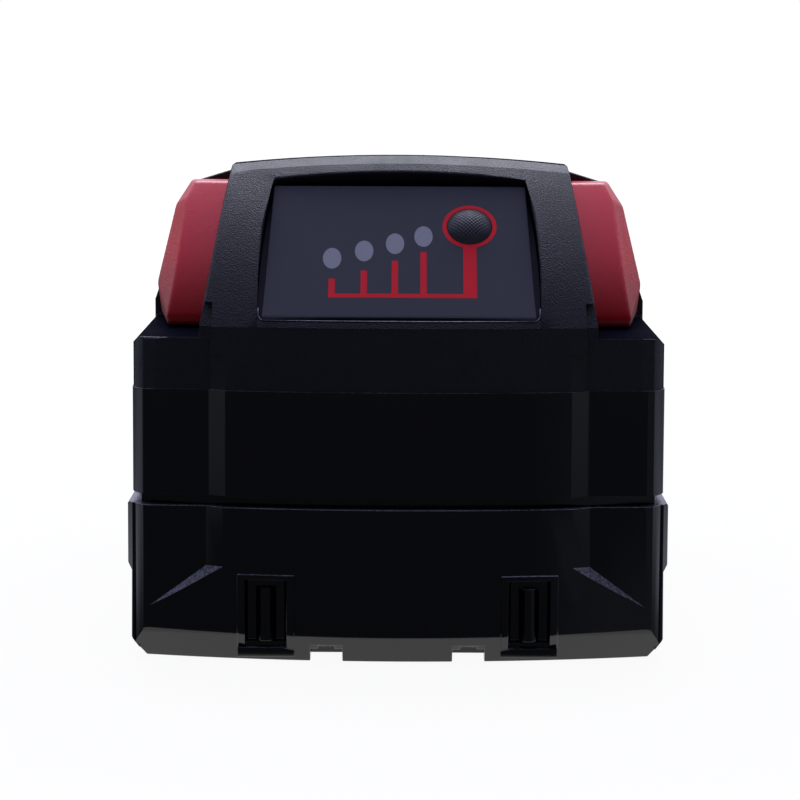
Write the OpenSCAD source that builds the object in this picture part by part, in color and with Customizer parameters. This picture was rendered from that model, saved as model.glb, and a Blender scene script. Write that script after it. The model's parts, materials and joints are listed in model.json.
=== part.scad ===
// Slide-on battery pack: ten cells in a three-piece case, with a sloped fuel gauge on a hood,
// a push latch on each side of the hood and a rail block on top that slides into the tool.
// The gauge side faces -Y, +Z is up, and the origin is at the middle of the base.

/* [Cells] */
// Diameter of one cell
cell_d = 18.35; // [17.6:0.05:19.4]
// Length of one cell over its positive cap
cell_l = 65.2; // [63:0.1:69]
// Gap between neighbouring cells of a layer
cell_gap = 0.9; // [0.6:0.1:1.8]
// Gap between the two layers of cells
layer_gap = 0.5; // [0.4:0.1:1.5]
// Height of the positive cap above the can
cap_h = 0.6; // [0.4:0.1:1]
// Radius of the positive cap
cap_r = 3; // [2:0.1:4]
// Depth of the crimp groove near the positive end
crimp_d = 0.7; // [0.4:0.1:1]

/* [Cell frames] */
// Plastic of a frame outside the outer cells
frame_rim = 1.2; // [0.9:0.1:2]
// End web of a frame over the cell ends
frame_web = 1.6; // [1.2:0.1:2.4]
// Length of each cell end that a frame grips
frame_grip = 12; // [9:0.5:18]
// Clearance round a cell in its frame
cell_fit = 0.1; // [0.05:0.01:0.25]
// Radius of a weld window in the end web
weld_r = 5.5; // [4.5:0.1:7]
// Thickness of the nickel strips
strip_t = 0.3; // [0.2:0.05:0.5]
// Width of a strip's tab to the main board
tab_w = 6; // [3:0.5:9]
// Thickness of the insulating end sheets
sheet_t = 0.8; // [0.4:0.1:1.2]

/* [Case] */
// Wall of the lower tray
tray_wall = 2; // [1.6:0.1:2.8]
// Floor of the lower tray
tray_floor = 3; // [2.8:0.1:4]
// Height of the lower tray
tray_h = 23.4; // [20:0.1:27]
// Skirt of the middle housing inside the tray
skirt_t = 1.6; // [1.3:0.1:2.2]
// Wall of the middle and upper housings
case_wall = 2.4; // [2:0.1:2.8]
// Clearance between case parts that plug together
fit_gap = 0.15; // [0.1:0.01:0.3]
// Room between an end sheet and the skirt
side_gap = 0.75; // [0.5:0.05:1.5]
// Height of the shadow groove above the tray
groove_h = 1.6; // [1:0.1:2.4]
// Depth of the shadow groove
groove_d = 1.1; // [0.6:0.1:1.4]
// Drop of the upper seam below the top of the cell frames
seam_drop = 1.8; // [1:0.1:3]
// Radius of the bulged front
front_r = 150; // [120:5:300]
// Radius of the vertical case corners
corner_r = 6; // [5:0.5:8]
// Half width of the raised panel on the front
panel_half = 25.2; // [24.5:0.1:26]
// Width of the chamfer beside the panel
panel_chamfer = 2.6; // [2:0.1:3.2]
// Set-back of the front beside the panel
panel_step = 1.35; // [0.8:0.05:1.6]
// Height of the chamfer along the front and rear of the base
base_chamfer_h = 4.6; // [3.5:0.1:5]
// Depth of the chamfer along the front and rear of the base
base_chamfer_d = 3.4; // [2.5:0.1:3.8]
// Height of the chamfer along the sides of the base
side_chamfer_h = 2.6; // [2:0.1:3.6]
// Depth of the chamfer along the sides of the base
side_chamfer_d = 2; // [1.5:0.1:3]
// Stand-out of the tray's side rims
rim_out = 0.8; // [0.6:0.1:1.2]
// Stand-out of the tray's sides below the rims
side_out = 0.2; // [0.1:0.05:0.4]
// Underside of the tray's side rims
rim_z = 14; // [12:0.5:16]

/* [Snaps and screws] */
// Distance of a snap window from the middle
snap_x = 19.6; // [17:0.1:21]
// Width of a snap window
snap_w = 6.2; // [5:0.1:7]
// Width of the raised border beside a snap window
snap_border = 1.15; // [0.8:0.05:1.6]
// Top of the snap windows
snap_top = 12.7; // [11:0.1:15]
// Foot of the snap windows
snap_foot = 2.2; // [1.8:0.1:2.6]
// Clearance of a snap tongue in its window
tongue_fit = 0.25; // [0.2:0.05:0.5]
// Distance of a base notch from the middle
notch_x = 10.6; // [9:0.1:11.5]
// Width of a base notch
notch_w = 4.8; // [3:0.1:6]
// Height of a base notch at its mouth
notch_h = 2.8; // [2.2:0.1:3.4]
// Depth of a base notch behind the front
notch_l = 10.4; // [7:0.1:12]
// Radius of a case screw's shank
screw_r = 1.25; // [1:0.05:1.5]
// Radius of a case screw's head
head_r = 2.3; // [2:0.1:2.6]
// Height of a case screw's head
head_h = 1.8; // [1.4:0.1:2.2]
// Length of a case screw under its head
screw_l = 18; // [14:1:26]
// Wall of plastic round a screw head
boss_wall = 1.2; // [0.9:0.1:1.8]
// Clearance of the screw posts inside the case
post_gap = 0.3; // [0.25:0.05:0.6]
// Height of the screw bosses in the tray
boss_h = 9; // [8:0.5:12]

/* [Hood and rails] */
// Height of the hood above the ledge
hood_h = 26.2; // [25.4:0.1:27]
// Half width of the hood at the ledge
hood_half = 29.8; // [29.5:0.1:31]
// Narrowing of the hood on each side per millimetre of height
hood_taper = 0.168; // [0.14:0.002:0.18]
// Slope of the gauge panel from the vertical
slope = 42; // [40:0.5:43]
// Lean of the hood's bowed face from the vertical at its foot
face_foot = 22; // [20:0.5:24]
// Lean of the hood's bowed face from the vertical at its head
face_head = 58; // [56:0.5:60]
// Depth of the hood from front to back at its sides
wing_t = 14.5; // [14:0.1:15.5]
// Rise of the tilted strip along the top of the hood
strip_rise = 1.15; // [0.8:0.05:1.4]
// Tilt of that strip from the horizontal
strip_tilt = 15; // [12:1:20]
// Height of the upright front above the ledge
brow_h = 1.7; // [1:0.1:2.5]
// Radius of the hood's crowned top
crown_r = 230; // [150:10:500]
// Half width of the hood behind the gauge
core_half = 20.5; // [19.5:0.1:21]
// Wall of the hood behind the gauge and of the rail block
core_wall = 2.3; // [1.8:0.1:2.6]
// Thickness of the collar behind the latches
collar_t = 3; // [2.4:0.1:4]
// Length of the rail block
rail_l = 77; // [70:0.5:80]
// Height of the rail block above the ledge
rail_h = 18.5; // [17:0.1:19.5]
// Reach of the flanges beyond the foot of the rail block
flange_out = 6.6; // [5.8:0.1:7]
// Thickness of the flanges
flange_t = 5.4; // [4.5:0.1:5.6]

/* [Gauge] */
// Depth of the gauge panel behind the foot of the face
panel_sink = 0.1; // [0.05:0.05:0.5]
// Thickness of the raised pad of the gauge panel
pad_t = 2; // [1.8:0.1:2.4]
// Thickness of the gauge panel's flange
pad_flange_t = 1; // [0.8:0.1:1.4]
// Half width of the window where it is widest
win_half = 20.9; // [20.7:0.05:21.4]
// Lower edge of the window, along the slope
win_low = 1; // [0.8:0.1:1.4]
// Distance of the window's upper edge below the top of the face, along the slope
win_head = 1.9; // [1.7:0.1:2.6]
// Radius of the bowed sides of the window
win_side_r = 124; // [100:2:160]
// Diameter of the push button
button_d = 6.8; // [5.5:0.1:7.2]
// Travel of the push button
button_travel = 0.5; // [0.3:0.05:0.5]
// Running clearance of the push button
button_fit = 0.1; // [0.05:0.01:0.15]
// Width of a lens
lens_w = 2.7; // [2:0.1:3.2]
// Length of a lens along the slope
lens_l = 3.9; // [3:0.1:4.4]
// Thickness of the gauge board
gauge_board_t = 1; // [0.8:0.1:1.2]

/* [Latches] */
// Inward travel of a latch
latch_travel = 4; // [3:0.1:4.2]
// Gap between a latch and the hood
latch_gap = 0.8; // [0.5:0.05:1.2]
// Clearance of a latch in its guide windows
latch_fit = 0.35; // [0.3:0.05:0.5]
// Reach of the latch's outer face from the middle, at its rear
latch_reach = 38.6; // [37.5:0.1:39]
// Height of the latch above the ledge
latch_h = 21.7; // [20:0.1:22.5]
// Reach of the locking nose beside the rail block
nose_out = 3.9; // [3:0.1:4]
// Wire diameter of the latch springs
spring_wire = 0.6; // [0.4:0.05:0.8]
// Mean radius of the latch springs
spring_r = 2.6; // [2.4:0.1:3]

/* [Electronics] */
// Lift of the main board above the cell frames
board_lift = 1.4; // [1.2:0.1:2.5]
// Thickness of the main board
board_t = 1.6; // [1.2:0.1:2]
// Room between the main board and the ledge
board_gap = 0.5; // [0.5:0.1:1.5]
// Spacing of the terminal slots
slot_pitch = 8; // [7.4:0.1:8.2]
// Width of a terminal slot
slot_w = 2.8; // [2:0.1:3.2]
// Length of the terminal slots
slot_l = 22; // [18:0.5:24]
// Wall of the terminal block beside its outer contacts
block_wall = 0.8; // [0.6:0.1:1.6]

/* [Hidden] */
$fn = 64;
columns = 5;
layers = 2;
blades = 5;
eps = 0.01;

// Lengthwise and crosswise sizes, worked out from the cells
cell_r = cell_d / 2;
pitch_y = cell_d + cell_gap;
pitch_z = cell_d + layer_gap;
frame_l = (columns - 1) * pitch_y + cell_d + 2 * frame_rim;
frame_h = (layers - 1) * pitch_z + cell_d + 2 * frame_rim;
frame_x = cell_l / 2 + frame_web;
strip_x = frame_x + strip_t;
sheet_x = strip_x + sheet_t;
case_skin = tray_wall + fit_gap + skirt_t;
half_w = sheet_x + side_gap + case_skin;
head_fit = 0.2;
boss_r = head_r + head_fit + boss_wall;
boss_x = half_w - case_skin - post_gap - boss_r;
boss_room = 2 * (post_gap + boss_r);
function sag(x, r) = r - sqrt(r * r - x * x);
front_room = panel_step + sag(boss_x, front_r - panel_step) + case_skin + boss_room;
rear_room = case_skin + boss_room;
case_l = front_room + frame_l + rear_room;
y_front = -case_l / 2;
y_rear = case_l / 2;
// Size of the cutting planes, beyond the whole pack
reach = case_l;
frame_y = y_front + front_room;
boss_front = frame_y - boss_room / 2;
boss_rear = y_rear - rear_room + boss_room / 2;
corner_y = y_front + 3.2;
function cell_y(column) = frame_y + frame_rim + cell_r + column * pitch_y;
function cell_z(layer) = tray_floor + frame_rim + cell_r + layer * pitch_z;

// Heights, worked out from the stack of cells and boards
z_frame = tray_floor + frame_h;
z_seam = z_frame - seam_drop;
z_board = z_frame + board_lift;
z_deck = z_board + board_t;
z_ceiling = z_deck + board_gap;
z_ledge = z_ceiling + case_wall;
z_brow = z_ledge + brow_h;
z_top = z_ledge + hood_h;
z_rail = z_ledge + rail_h;
z_flange = z_rail - flange_t;
skirt_seat = 7;
boss_seat = 3.8;
z_head = boss_h - boss_seat;
skirt_gap = 0.2;
z_groove = tray_h + groove_h;
jog_h = 1.2;
lip_h = 1.5;
lip_t = 1;

// Front recess beside the raised panel: it starts at the chamfer and runs out near the corner
recess_end = half_w - 2.8;
recess_c = [recess_end, sag(recess_end, front_r)];
function recess_a(shift) = [panel_half + shift, sag(panel_half + shift, front_r)];
function recess_b(shift) = recess_a(shift + panel_chamfer) + [0, panel_step];
middle_shift = 0.4;
tray_shift = 0.8;
recess_low = 14.5;
recess_rise = -0.1;
recess_drop = 6.3;
recess_head = 2.3;

// Bowed face of the hood: an arc from the brow to the strip along the top
z_shoulder = z_top - strip_rise;
face_rise = z_shoulder - z_brow;
face_r = face_rise / (sin(face_head) - sin(face_foot));
face_back = face_r * cos(face_foot);
face_axis = z_brow - face_r * sin(face_foot);
function face_depth(z) = face_back - sqrt(pow(face_r, 2) - pow(max(z, z_brow) - face_axis, 2));
face_top = face_depth(z_shoulder);
fall_set = 8;
rebate_d = 1.2;
rebate_h = 3.5;
rebate_in = 2.2;

// Depths behind the plane of the gauge
d_seat = panel_sink + pad_t;
d_flange = d_seat + pad_flange_t;
button_lip = 0.6;
button_gap = 0.1;
switch_h = 1.4;
d_switch = d_flange + button_gap + button_lip + button_travel + button_gap;
d_gauge = d_switch + switch_h;
solder_h = 0.7;
d_hollow = d_gauge + gauge_board_t + solder_h;
d_core = d_hollow + 2;
gauge_half = 22.4;
gauge_fit = 0.2;
gauge_open = 12;
brow_skin = 0.8;
brow_back = brow_skin + sag(gauge_half, front_r - brow_skin);
gauge_low = (brow_back + gauge_fit - d_seat * cos(slope)) / sin(slope);
win_high = face_top * sin(slope) + face_rise * cos(slope) - win_head;
gauge_high = win_high + 1;
win_mid = 6;
win_out = 6;
button_at = [10.5, 19.3];
lens_at = [[-10, 13.2], [-5.25, 14.6], [-0.65, 16], [3.6, 17.4]];
post_at = [[-16.5, 5], [16.5, 5], [-15.5, 25], [15.5, 25]];
gauge_post_r = 1.6;
gauge_screw_r = 0.7;
gauge_screw_head = 1.3;

// Hood, collar and latch places along Y
function face_y(z) = y_front + (z - z_brow) * tan(slope);
latch_set = wing_t + latch_gap;
z_hood = z_ledge - 2;
y_rail = y_rear - 4;
y_collar = y_rail - rail_l - collar_t;
latch_back = y_collar - 0.4;
latch_low = z_ledge + 0.4;
latch_top = z_ledge + latch_h;
latch_in = core_half + latch_travel + 0.4;
stem_set = 9;
stem_rise = 9.5;
stem_y = y_collar - stem_set;
stem_z = z_ledge + stem_rise;
stem_w = 9;
stem_h = 6;
stem_in = 12;
arm_t = 3.6;
arm_out = core_half - core_wall - 0.6;
nose_y = y_collar + collar_t + 7;
nose_l = 8;
nose_flat = 2.5;
rib_half = 1.2;
collar_wide = 2.8;
collar_in = 0.8;
collar_rise = 2.5;
pin_r = 1.8;
pin_l = 4;
spring_gap = 0.1;
spring_turns = 6;

// Electronics
weld_in = 0.6;
board_y0 = cell_y(0) - 7;
board_y1 = cell_y(columns - 1) + 7;
board_post_r = 2.4;
board_hole_r = 1.1;
board_screw_r = 1;
board_screw_l = 6;
board_head_r = 2;
board_head_h = 0.4;
post_x = frame_x - frame_web - frame_grip / 2;
function post_y(k) = cell_y(k) + pitch_y / 2;
y_slot = y_rail - slot_l;
slot_floor = z_ledge + 4;
contact_w = 4.4;
contact_t = 0.5;
contact_l = 11;
contact_h = 12;
contact_fit = 0.3;
contact_set = 3;
contact_drop = 2;
block_gap = 0.4;
block_half = (blades - 1) / 2 * slot_pitch + contact_w / 2 + contact_fit + block_wall;
block_y0 = y_slot - 2;
block_y1 = y_rail - core_wall - block_gap;
block_top = z_rail - core_wall - block_gap;
contact_y = block_y0 + contact_set;
contact_z = slot_floor - contact_drop;
rail_foot = block_half + block_gap + core_wall;
rail_half = rail_foot + flange_out;
cable_half = 4;
cable_t = 0.5;

cells = [for (layer = [0:layers - 1]) for (column = [0:columns - 1]) [column, layer]];
// Columns joined by each strip, its side (1 is +X) and its tab
strips = [["strip_negative", 0, 0, 1], ["strip_link_1", 0, 1, -1], ["strip_link_2", 1, 2, 1],
    ["strip_link_3", 2, 3, -1], ["strip_link_4", 3, 4, 1], ["strip_positive", 4, 4, -1]];

case_black = [0.07, 0.07, 0.08];
latch_red = [0.75, 0.07, 0.1];
frame_black = [0.15, 0.15, 0.16];
nickel = [0.78, 0.77, 0.73];
copper = [0.8, 0.5, 0.3];
board_green = [0.08, 0.32, 0.2];
steel = [0.7, 0.7, 0.72];

// Extrusions along each axis: Y and X take an outline drawn in XZ and in YZ
module along_z(z0, z1) {
    translate([0, 0, z0]) linear_extrude(z1 - z0) children();
}

module along_y(y0, y1) {
    translate([0, y1, 0]) rotate([90, 0, 0]) linear_extrude(y1 - y0) children();
}

module along_x(x0, x1) {
    translate([x0, 0, 0]) rotate([90, 0, 90]) linear_extrude(x1 - x0) children();
}

module both_sides() {
    children();
    mirror([1, 0, 0]) children();
}

// A block between two corners
module block(low, high) {
    translate(low) cube(high - low);
}

// Everything on the side of a plane that its normal points to
module beyond(point, normal) {
    tilt = acos(normal[2] / norm(normal));
    translate(point) rotate([0, tilt, atan2(normal[1], normal[0])])
        translate([-reach, -reach, 0]) cube([2 * reach, 2 * reach, reach]);
}

// Frame of the gauge face: x across, y up the slope, z out of the face
module on_face() {
    translate([0, y_front, z_brow]) rotate([90 - slope, 0, 0]) children();
}

// Part of the gauge stack between two depths behind the face
module at_depth(d0, d1) {
    on_face() translate([0, 0, -d1]) linear_extrude(d1 - d0) children();
}

module rounded_plan(half, y0, y1, r) {
    translate([-half + r, y0]) square([2 * (half - r), y1 - y0]);
    translate([-half, y0 + r]) square([2 * half, y1 - y0 - 2 * r]);
    for (x = [-half + r, half - r]) {
        for (y = [y0 + r, y1 - r]) translate([x, y]) circle(r);
    }
}

module front_disc(r) {
    translate([0, y_front + front_r]) circle(r, $fn = 240);
}

// Sides and corners of the case in plan, set in by a distance; the front is left to the bulge
module side_plan(inset) {
    r = max(corner_r - inset, 1);
    half = half_w - inset;
    rounded_plan(half, corner_y + inset, y_rear - inset, r);
    translate([r - half, y_front]) square([2 * (half - r), 2 * corner_r]);
}

// Outline of the case in plan, set in by a distance from its outer skin
module case_plan(inset) {
    intersection() {
        side_plan(inset);
        front_disc(front_r - inset);
    }
}

// Outline of a hollow, which stays a wall behind the set-back parts of the front
module hollow_plan(inset) {
    intersection() {
        side_plan(inset);
        front_disc(front_r - panel_step - inset);
    }
}

// Front material that is cut away beside the raised panel, in plan
module recess_plan(shift) {
    inner = recess_b(shift);
    ahead = 2 * recess_a(shift) - inner;
    past = 2 * recess_c - inner;
    translate([0, y_front]) both_sides()
        polygon([ahead, inner, past, [past[0], -corner_r], [ahead[0], -corner_r]]);
}

// The panel widens a little from the band to the tray
module panel_recess(z0, z1, shift = 0) {
    along_z(z0, z1) recess_plan(shift);
}

// The tray's recess ends at a slanted facet that runs out towards the corner
module tray_recess() {
    start = recess_a(tray_shift);
    deep = recess_b(tray_shift);
    inner = [start[0], y_front + start[1], recess_low];
    upper = [deep[0], y_front + deep[1], recess_low + recess_rise];
    outer = [recess_c[0], y_front + recess_c[1], recess_low - recess_drop];
    both_sides() difference() {
        intersection() {
            panel_recess(0, tray_h + 1, tray_shift);
            block([0, y_front - reach, 0], [reach, 0, reach]);
        }
        beyond(outer, cross(upper - inner, outer - inner));
    }
}

module snap_places() {
    for (x = [-snap_x, snap_x]) translate([x, 0, 0]) children();
}

module boss_places() {
    for (x = [-boss_x, boss_x]) {
        for (y = [boss_front, boss_rear]) translate([x, y, 0]) children();
    }
}

snap_depth = sag(snap_x, front_r) + panel_step + tray_wall;
snap_out = 0.25;
snap_head = 0.75;
snap_ledge = 0.8;
tongue_out = 0.9;
tongue_w = snap_w - 2 * tongue_fit;
tongue_y = y_front + snap_depth - tongue_out;
notch_low = tray_floor - 0.9;
notch_set = 0.35;
side_lean = side_chamfer_h / side_chamfer_d;

// Front of the tray as a body of revolution with its base chamfer, stood out by a distance
module tray_front(out) {
    translate([0, y_front + front_r, 0]) rotate_extrude($fn = 240)
        polygon([[0, 0], [front_r - base_chamfer_d + out, 0], [front_r + out, base_chamfer_h],
            [front_r + out, tray_h], [0, tray_h]]);
}

// Raised border round each snap window, closed below by an upright ledge
module snap_borders() {
    half = snap_w / 2 + snap_border;
    back = y_front + snap_depth;
    ledge_y = y_front + sag(snap_x, front_r) + base_chamfer_d * (1 - snap_foot / base_chamfer_h) - snap_out;
    intersection() {
        tray_front(snap_out);
        snap_places() block([-half, y_front - 1, snap_foot], [half, back, snap_top + snap_head]);
    }
    snap_places() block([-half, ledge_y, snap_ledge], [half, back, snap_foot + eps]);
}

module notch_places() {
    for (x = [-notch_x, notch_x]) translate([x, y_front, 0]) children();
}

// Notches in the front edge of the base, with a set-back tab in each upper corner
module base_notches() {
    mouth = base_chamfer_d + 1;
    notch_places() {
        block([-notch_w / 2, -1, -1], [notch_w / 2, notch_l, notch_low]);
        block([-notch_w / 4, -1, -1], [notch_w / 4, mouth, notch_h]);
    }
    difference() {
        notch_places() block([-notch_w / 2, -1, -1], [notch_w / 2, mouth, notch_h]);
        tray_front(-notch_set);
    }
}

module lower_tray() {
    chamfer_x = half_w - side_chamfer_d;
    chamfer_y = y_rear - base_chamfer_d;
    rear_lean = base_chamfer_h / base_chamfer_d;
    color(case_black) difference() {
        union() {
            intersection() {
                along_z(0, tray_h) side_plan(0);
                tray_front(0);
                along_y(-reach, reach) polygon([[-chamfer_x, 0], [chamfer_x, 0],
                    [chamfer_x + reach, reach * side_lean], [-chamfer_x - reach, reach * side_lean]]);
                along_x(-reach, reach) polygon([[-reach, 0], [chamfer_y, 0],
                    [chamfer_y + reach, reach * rear_lean], [-reach, reach * rear_lean]]);
            }
            both_sides() side_rim();
            snap_borders();
        }
        along_z(skirt_seat, tray_h + 1) hollow_plan(tray_wall);
        along_z(tray_floor, tray_h + 1) hollow_plan(case_skin);
        tray_recess();
        snap_places() {
            block([-snap_w / 2, y_front - 1, tray_floor],
                [snap_w / 2, y_front + snap_depth + skirt_t + 1, snap_top]);
            block([-snap_w / 2, y_front - 1, snap_foot], [snap_w / 2, tongue_y, snap_top]);
        }
        base_notches();
        boss_places() translate([0, 0, -1]) cylinder(r = head_r + head_fit, h = z_head + 1);
    }
    color(case_black) boss_places() tray_boss();
}

// The wider sides of the tray and the rim along the top of each
module side_rim() {
    rim_edge = 0.3;
    y0 = corner_y + corner_r - 2;
    y1 = y_rear - corner_r + 2;
    intersection() {
        along_y(y0, y1) polygon([[half_w - 1, side_chamfer_h - side_lean],
            [half_w + side_out, side_chamfer_h + side_out * side_lean], [half_w + side_out, rim_z - rim_out],
            [half_w + rim_out, rim_z], [half_w + rim_out, tray_h - rim_edge],
            [half_w + rim_out - rim_edge, tray_h], [half_w - 1, tray_h]]);
        along_z(0, tray_h) polygon([[half_w - 1, y0], [half_w, y0], [half_w + rim_out, y0 + 2 * rim_out],
            [half_w + rim_out, y1 - 2 * rim_out], [half_w, y1], [half_w - 1, y1]]);
    }
}

// Screw boss that stands on the tray floor, with the seat of the screw head
module tray_boss() {
    difference() {
        translate([0, 0, tray_floor]) cylinder(r = boss_r, h = boss_h - tray_floor);
        translate([0, 0, -1]) cylinder(r = head_r + head_fit, h = z_head + 1);
        cylinder(r = screw_r + head_fit, h = boss_h + 1);
    }
}

// Sleeve between the seams: a skirt plugs into the tray, a lip locates the upper housing
module middle_housing() {
    z_jog = z_groove + jog_h;
    color(case_black) {
        difference() {
            union() {
                difference() {
                    along_z(z_groove, z_seam) case_plan(0);
                    panel_recess(z_groove - 1, z_seam + 1, middle_shift);
                }
                along_z(tray_h, z_groove + eps) hollow_plan(groove_d);
                along_z(z_seam - eps, z_seam + lip_h) hollow_plan(case_wall - lip_t);
                along_z(skirt_seat + skirt_gap, tray_h + eps) hollow_plan(tray_wall + fit_gap);
            }
            along_z(z_jog, z_seam + lip_h + 1) hollow_plan(case_wall);
            along_z(0, z_jog + 1) hollow_plan(case_skin);
        }
        snap_places() snap_tongue();
    }
}

// Tongue of the skirt that stands in a snap window, with a half-round rib down its face
module snap_tongue() {
    foot = tray_floor + tongue_fit;
    rib_r = 1.4;
    block([-tongue_w / 2, tongue_y, foot],
        [tongue_w / 2, y_front + snap_depth + skirt_t, snap_top - tongue_fit]);
    translate([0, tongue_y, foot]) cylinder(r = rib_r, h = snap_top - foot - rib_r);
}

// Front view of the hood: tapered sides under a crowned top
module hood_front() {
    low = hood_half + (z_ledge - z_hood) * hood_taper;
    high = hood_half - (hood_h + 4) * hood_taper;
    intersection() {
        polygon([[-low, z_hood], [low, z_hood], [high, z_top + 4], [-high, z_top + 4]]);
        translate([0, z_top - crown_r]) circle(crown_r - eps, $fn = 360);
    }
}

// Profile of the hood's face from its upright axis outwards: upright at the brow, bowed above it
module face_profile() {
    far = front_r - fit_gap - face_back;
    translate([0, z_hood - 1]) square([far, z_top - z_hood + 2]);
    translate([far - eps, z_hood - 1]) square([face_back, z_brow - z_hood + 1]);
    intersection() {
        translate([far, face_axis]) circle(face_r, $fn = 240);
        translate([far - eps, z_brow]) square([face_r, z_top - z_brow + 1]);
    }
}

// Bowed face of the hood and everything behind it
module behind_face() {
    translate([0, y_front + front_r, 0]) rotate_extrude($fn = 240) face_profile();
}

// Everything under the crowned strip that tilts forward along the top of the hood
module under_strip() {
    translate([0, y_front + face_top, z_shoulder]) rotate([strip_tilt, 0, 0])
        translate([0, -reach, -crown_r]) rotate([-90, 0, 0]) cylinder(r = crown_r, h = 2 * reach, $fn = 360);
}

// Upright foot of the hood, flush with the band below it
module hood_foot() {
    intersection() {
        along_y(y_front - 1, y_front + wing_t) hood_front();
        along_z(z_hood, z_brow) case_plan(fit_gap);
    }
}

// Curved shell across the front, with the core behind its middle and a top that falls to the rail block
module hood() {
    front = y_front - 1;
    rear = y_collar + collar_t;
    intersection() {
        along_y(front, rear) hood_front();
        behind_face();
        under_strip();
        along_x(-reach, reach) polygon([[front, z_hood - 1], [rear, z_hood - 1], [rear, z_rail],
            [y_front + face_top + fall_set, z_top], [front, z_top]]);
        union() {
            difference() {
                block([-reach, front, z_hood - 1], [reach, rear, z_top + 1]);
                translate([0, wing_t, 0]) behind_face();
            }
            block([-core_half, front, z_hood - 1], [core_half, rear, z_top + 1]);
        }
    }
}

// The recess beside the front panel goes on up to the ledge, outside the hood's middle part
module ledge_recess() {
    low = z_ledge - recess_head - 1;
    intersection() {
        panel_recess(low, z_ledge + eps);
        both_sides() block([hood_half - rebate_in, y_front - reach, low], [reach, 0, z_ledge + 1]);
    }
}

// Shallow rebate at each lower corner of the hood
module hood_rebates() {
    both_sides() difference() {
        block([hood_half - rebate_in, y_front - 1, z_ledge], [reach, y_collar, z_brow + rebate_h]);
        translate([0, rebate_d, 0]) behind_face();
    }
}

// Collar behind the latches, which the tool's foot runs up to
module collar() {
    foot = half_w - collar_in;
    side = hood_half + collar_wide;
    high = hood_half - latch_h * hood_taper;
    along_y(y_collar, y_collar + collar_t) both_sides()
        polygon([[0, z_hood], [foot, z_hood], [foot, z_ledge + collar_rise], [side, latch_top - 0.4],
            [high, latch_top + 1.6], [core_half, z_rail + 2], [0, z_rail + 2]]);
}

// Rail block: a foot under two flanges, with a lead-in at the rear ends of the flanges
module rail_block() {
    edge = 0.8;
    lead = 4;
    difference() {
        along_y(y_collar + eps, y_rail) both_sides()
            polygon([[0, z_hood], [rail_foot, z_hood], [rail_foot, z_flange], [rail_half, z_flange],
                [rail_half, z_rail - edge], [rail_half - edge, z_rail], [0, z_rail]]);
        both_sides() beyond([rail_half, y_rail - lead, z_rail], [1, 1, 0]);
    }
}

module blade_places() {
    for (k = [0:blades - 1]) translate([(k - (blades - 1) / 2) * slot_pitch, 0, 0]) children();
}

// One moulding: band, hood, collar, rail block and screw posts
module upper_housing() {
    edge = 1.3;
    out = half_w + edge;
    color(case_black) difference() {
        union() {
            difference() {
                union() {
                    intersection() {
                        along_z(z_seam, z_ledge) case_plan(fit_gap);
                        along_y(-reach, reach) polygon([[-out, z_seam], [out, z_seam],
                            [out, z_ledge - 2 * edge], [half_w - edge, z_ledge],
                            [edge - half_w, z_ledge], [-out, z_ledge - 2 * edge]]);
                    }
                    hood();
                    hood_foot();
                }
                panel_recess(z_seam - 1, z_ledge - recess_head);
                ledge_recess();
                hood_rebates();
            }
            collar();
            rail_block();
        }
        along_z(z_seam - 1, z_ceiling) hollow_plan(case_wall);
        along_z(z_seam - 1, z_seam + lip_h + fit_gap) hollow_plan(case_wall - lip_t - fit_gap);
        gauge_hollow();
        core_hollow();
        rail_hollow();
        latch_windows();
        terminal_slots();
    }
    color(case_black) {
        boss_places() screw_post();
        spring_rib();
    }
}

// Room for the gauge stack behind the face, and the window in front of it
module gauge_hollow() {
    intersection() {
        at_depth(d_seat, d_hollow) translate([-gauge_half - gauge_fit, -gauge_open])
            square([2 * (gauge_half + gauge_fit), gauge_high + gauge_fit + gauge_open]);
        along_z(z_ceiling - 1, z_top) front_disc(front_r - brow_skin);
    }
    at_depth(-win_out, d_seat + eps) window_plan();
    way_front = 5;
    way_rear = 10;
    way_high = 1.5;
    block([-cable_half - 1, face_y(z_ledge) + way_front, z_ceiling - 1],
        [cable_half + 1, y_collar - way_rear, z_ledge + way_high]);
}

// Window outline on the face: bowed sides, straight foot, crowned head
module window_plan() {
    head_r = 194;
    intersection() {
        translate([-reach, win_low]) square([2 * reach, win_high]);
        translate([0, win_high - head_r]) circle(head_r, $fn = 360);
        translate([win_half - win_side_r, win_mid]) circle(win_side_r, $fn = 180);
        translate([win_side_r - win_half, win_mid]) circle(win_side_r, $fn = 180);
    }
}

// Hollow of the hood behind the gauge, where the latch stems and springs lie
module core_hollow() {
    inside = core_half - core_wall;
    roof = z_rail - core_wall - 1;
    intersection() {
        block([-inside, y_front, z_ceiling - 1], [inside, y_collar + collar_t + 1, roof]);
        on_face() translate([0, 0, -d_core]) block([-reach, -reach, -reach], [reach, reach, 0]);
    }
}

module rail_hollow() {
    inside = rail_foot - core_wall;
    block([-inside, y_collar + collar_t, z_ceiling - 1], [inside, y_rail - core_wall, z_rail - core_wall]);
}

// Guide windows: each stem passes the hood's side, each nose passes the rail block's side
module latch_windows() {
    half_y = stem_w / 2 + latch_fit;
    half_z = stem_h / 2 + latch_fit;
    both_sides() {
        block([core_half - core_wall - 1, stem_y - half_y, stem_z - half_z],
            [core_half + 1, stem_y + half_y, stem_z + half_z]);
        block([rail_foot - core_wall - 1, nose_y - nose_l / 2 - latch_fit, stem_z - half_z],
            [rail_foot + 1, nose_y + nose_l / 2 + latch_fit, stem_z + half_z]);
    }
}

// Blade slots, open to the top and to the rear
module terminal_slots() {
    blade_places() block([-slot_w / 2, y_slot, slot_floor], [slot_w / 2, y_rail + 1, z_rail + 1]);
}

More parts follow.
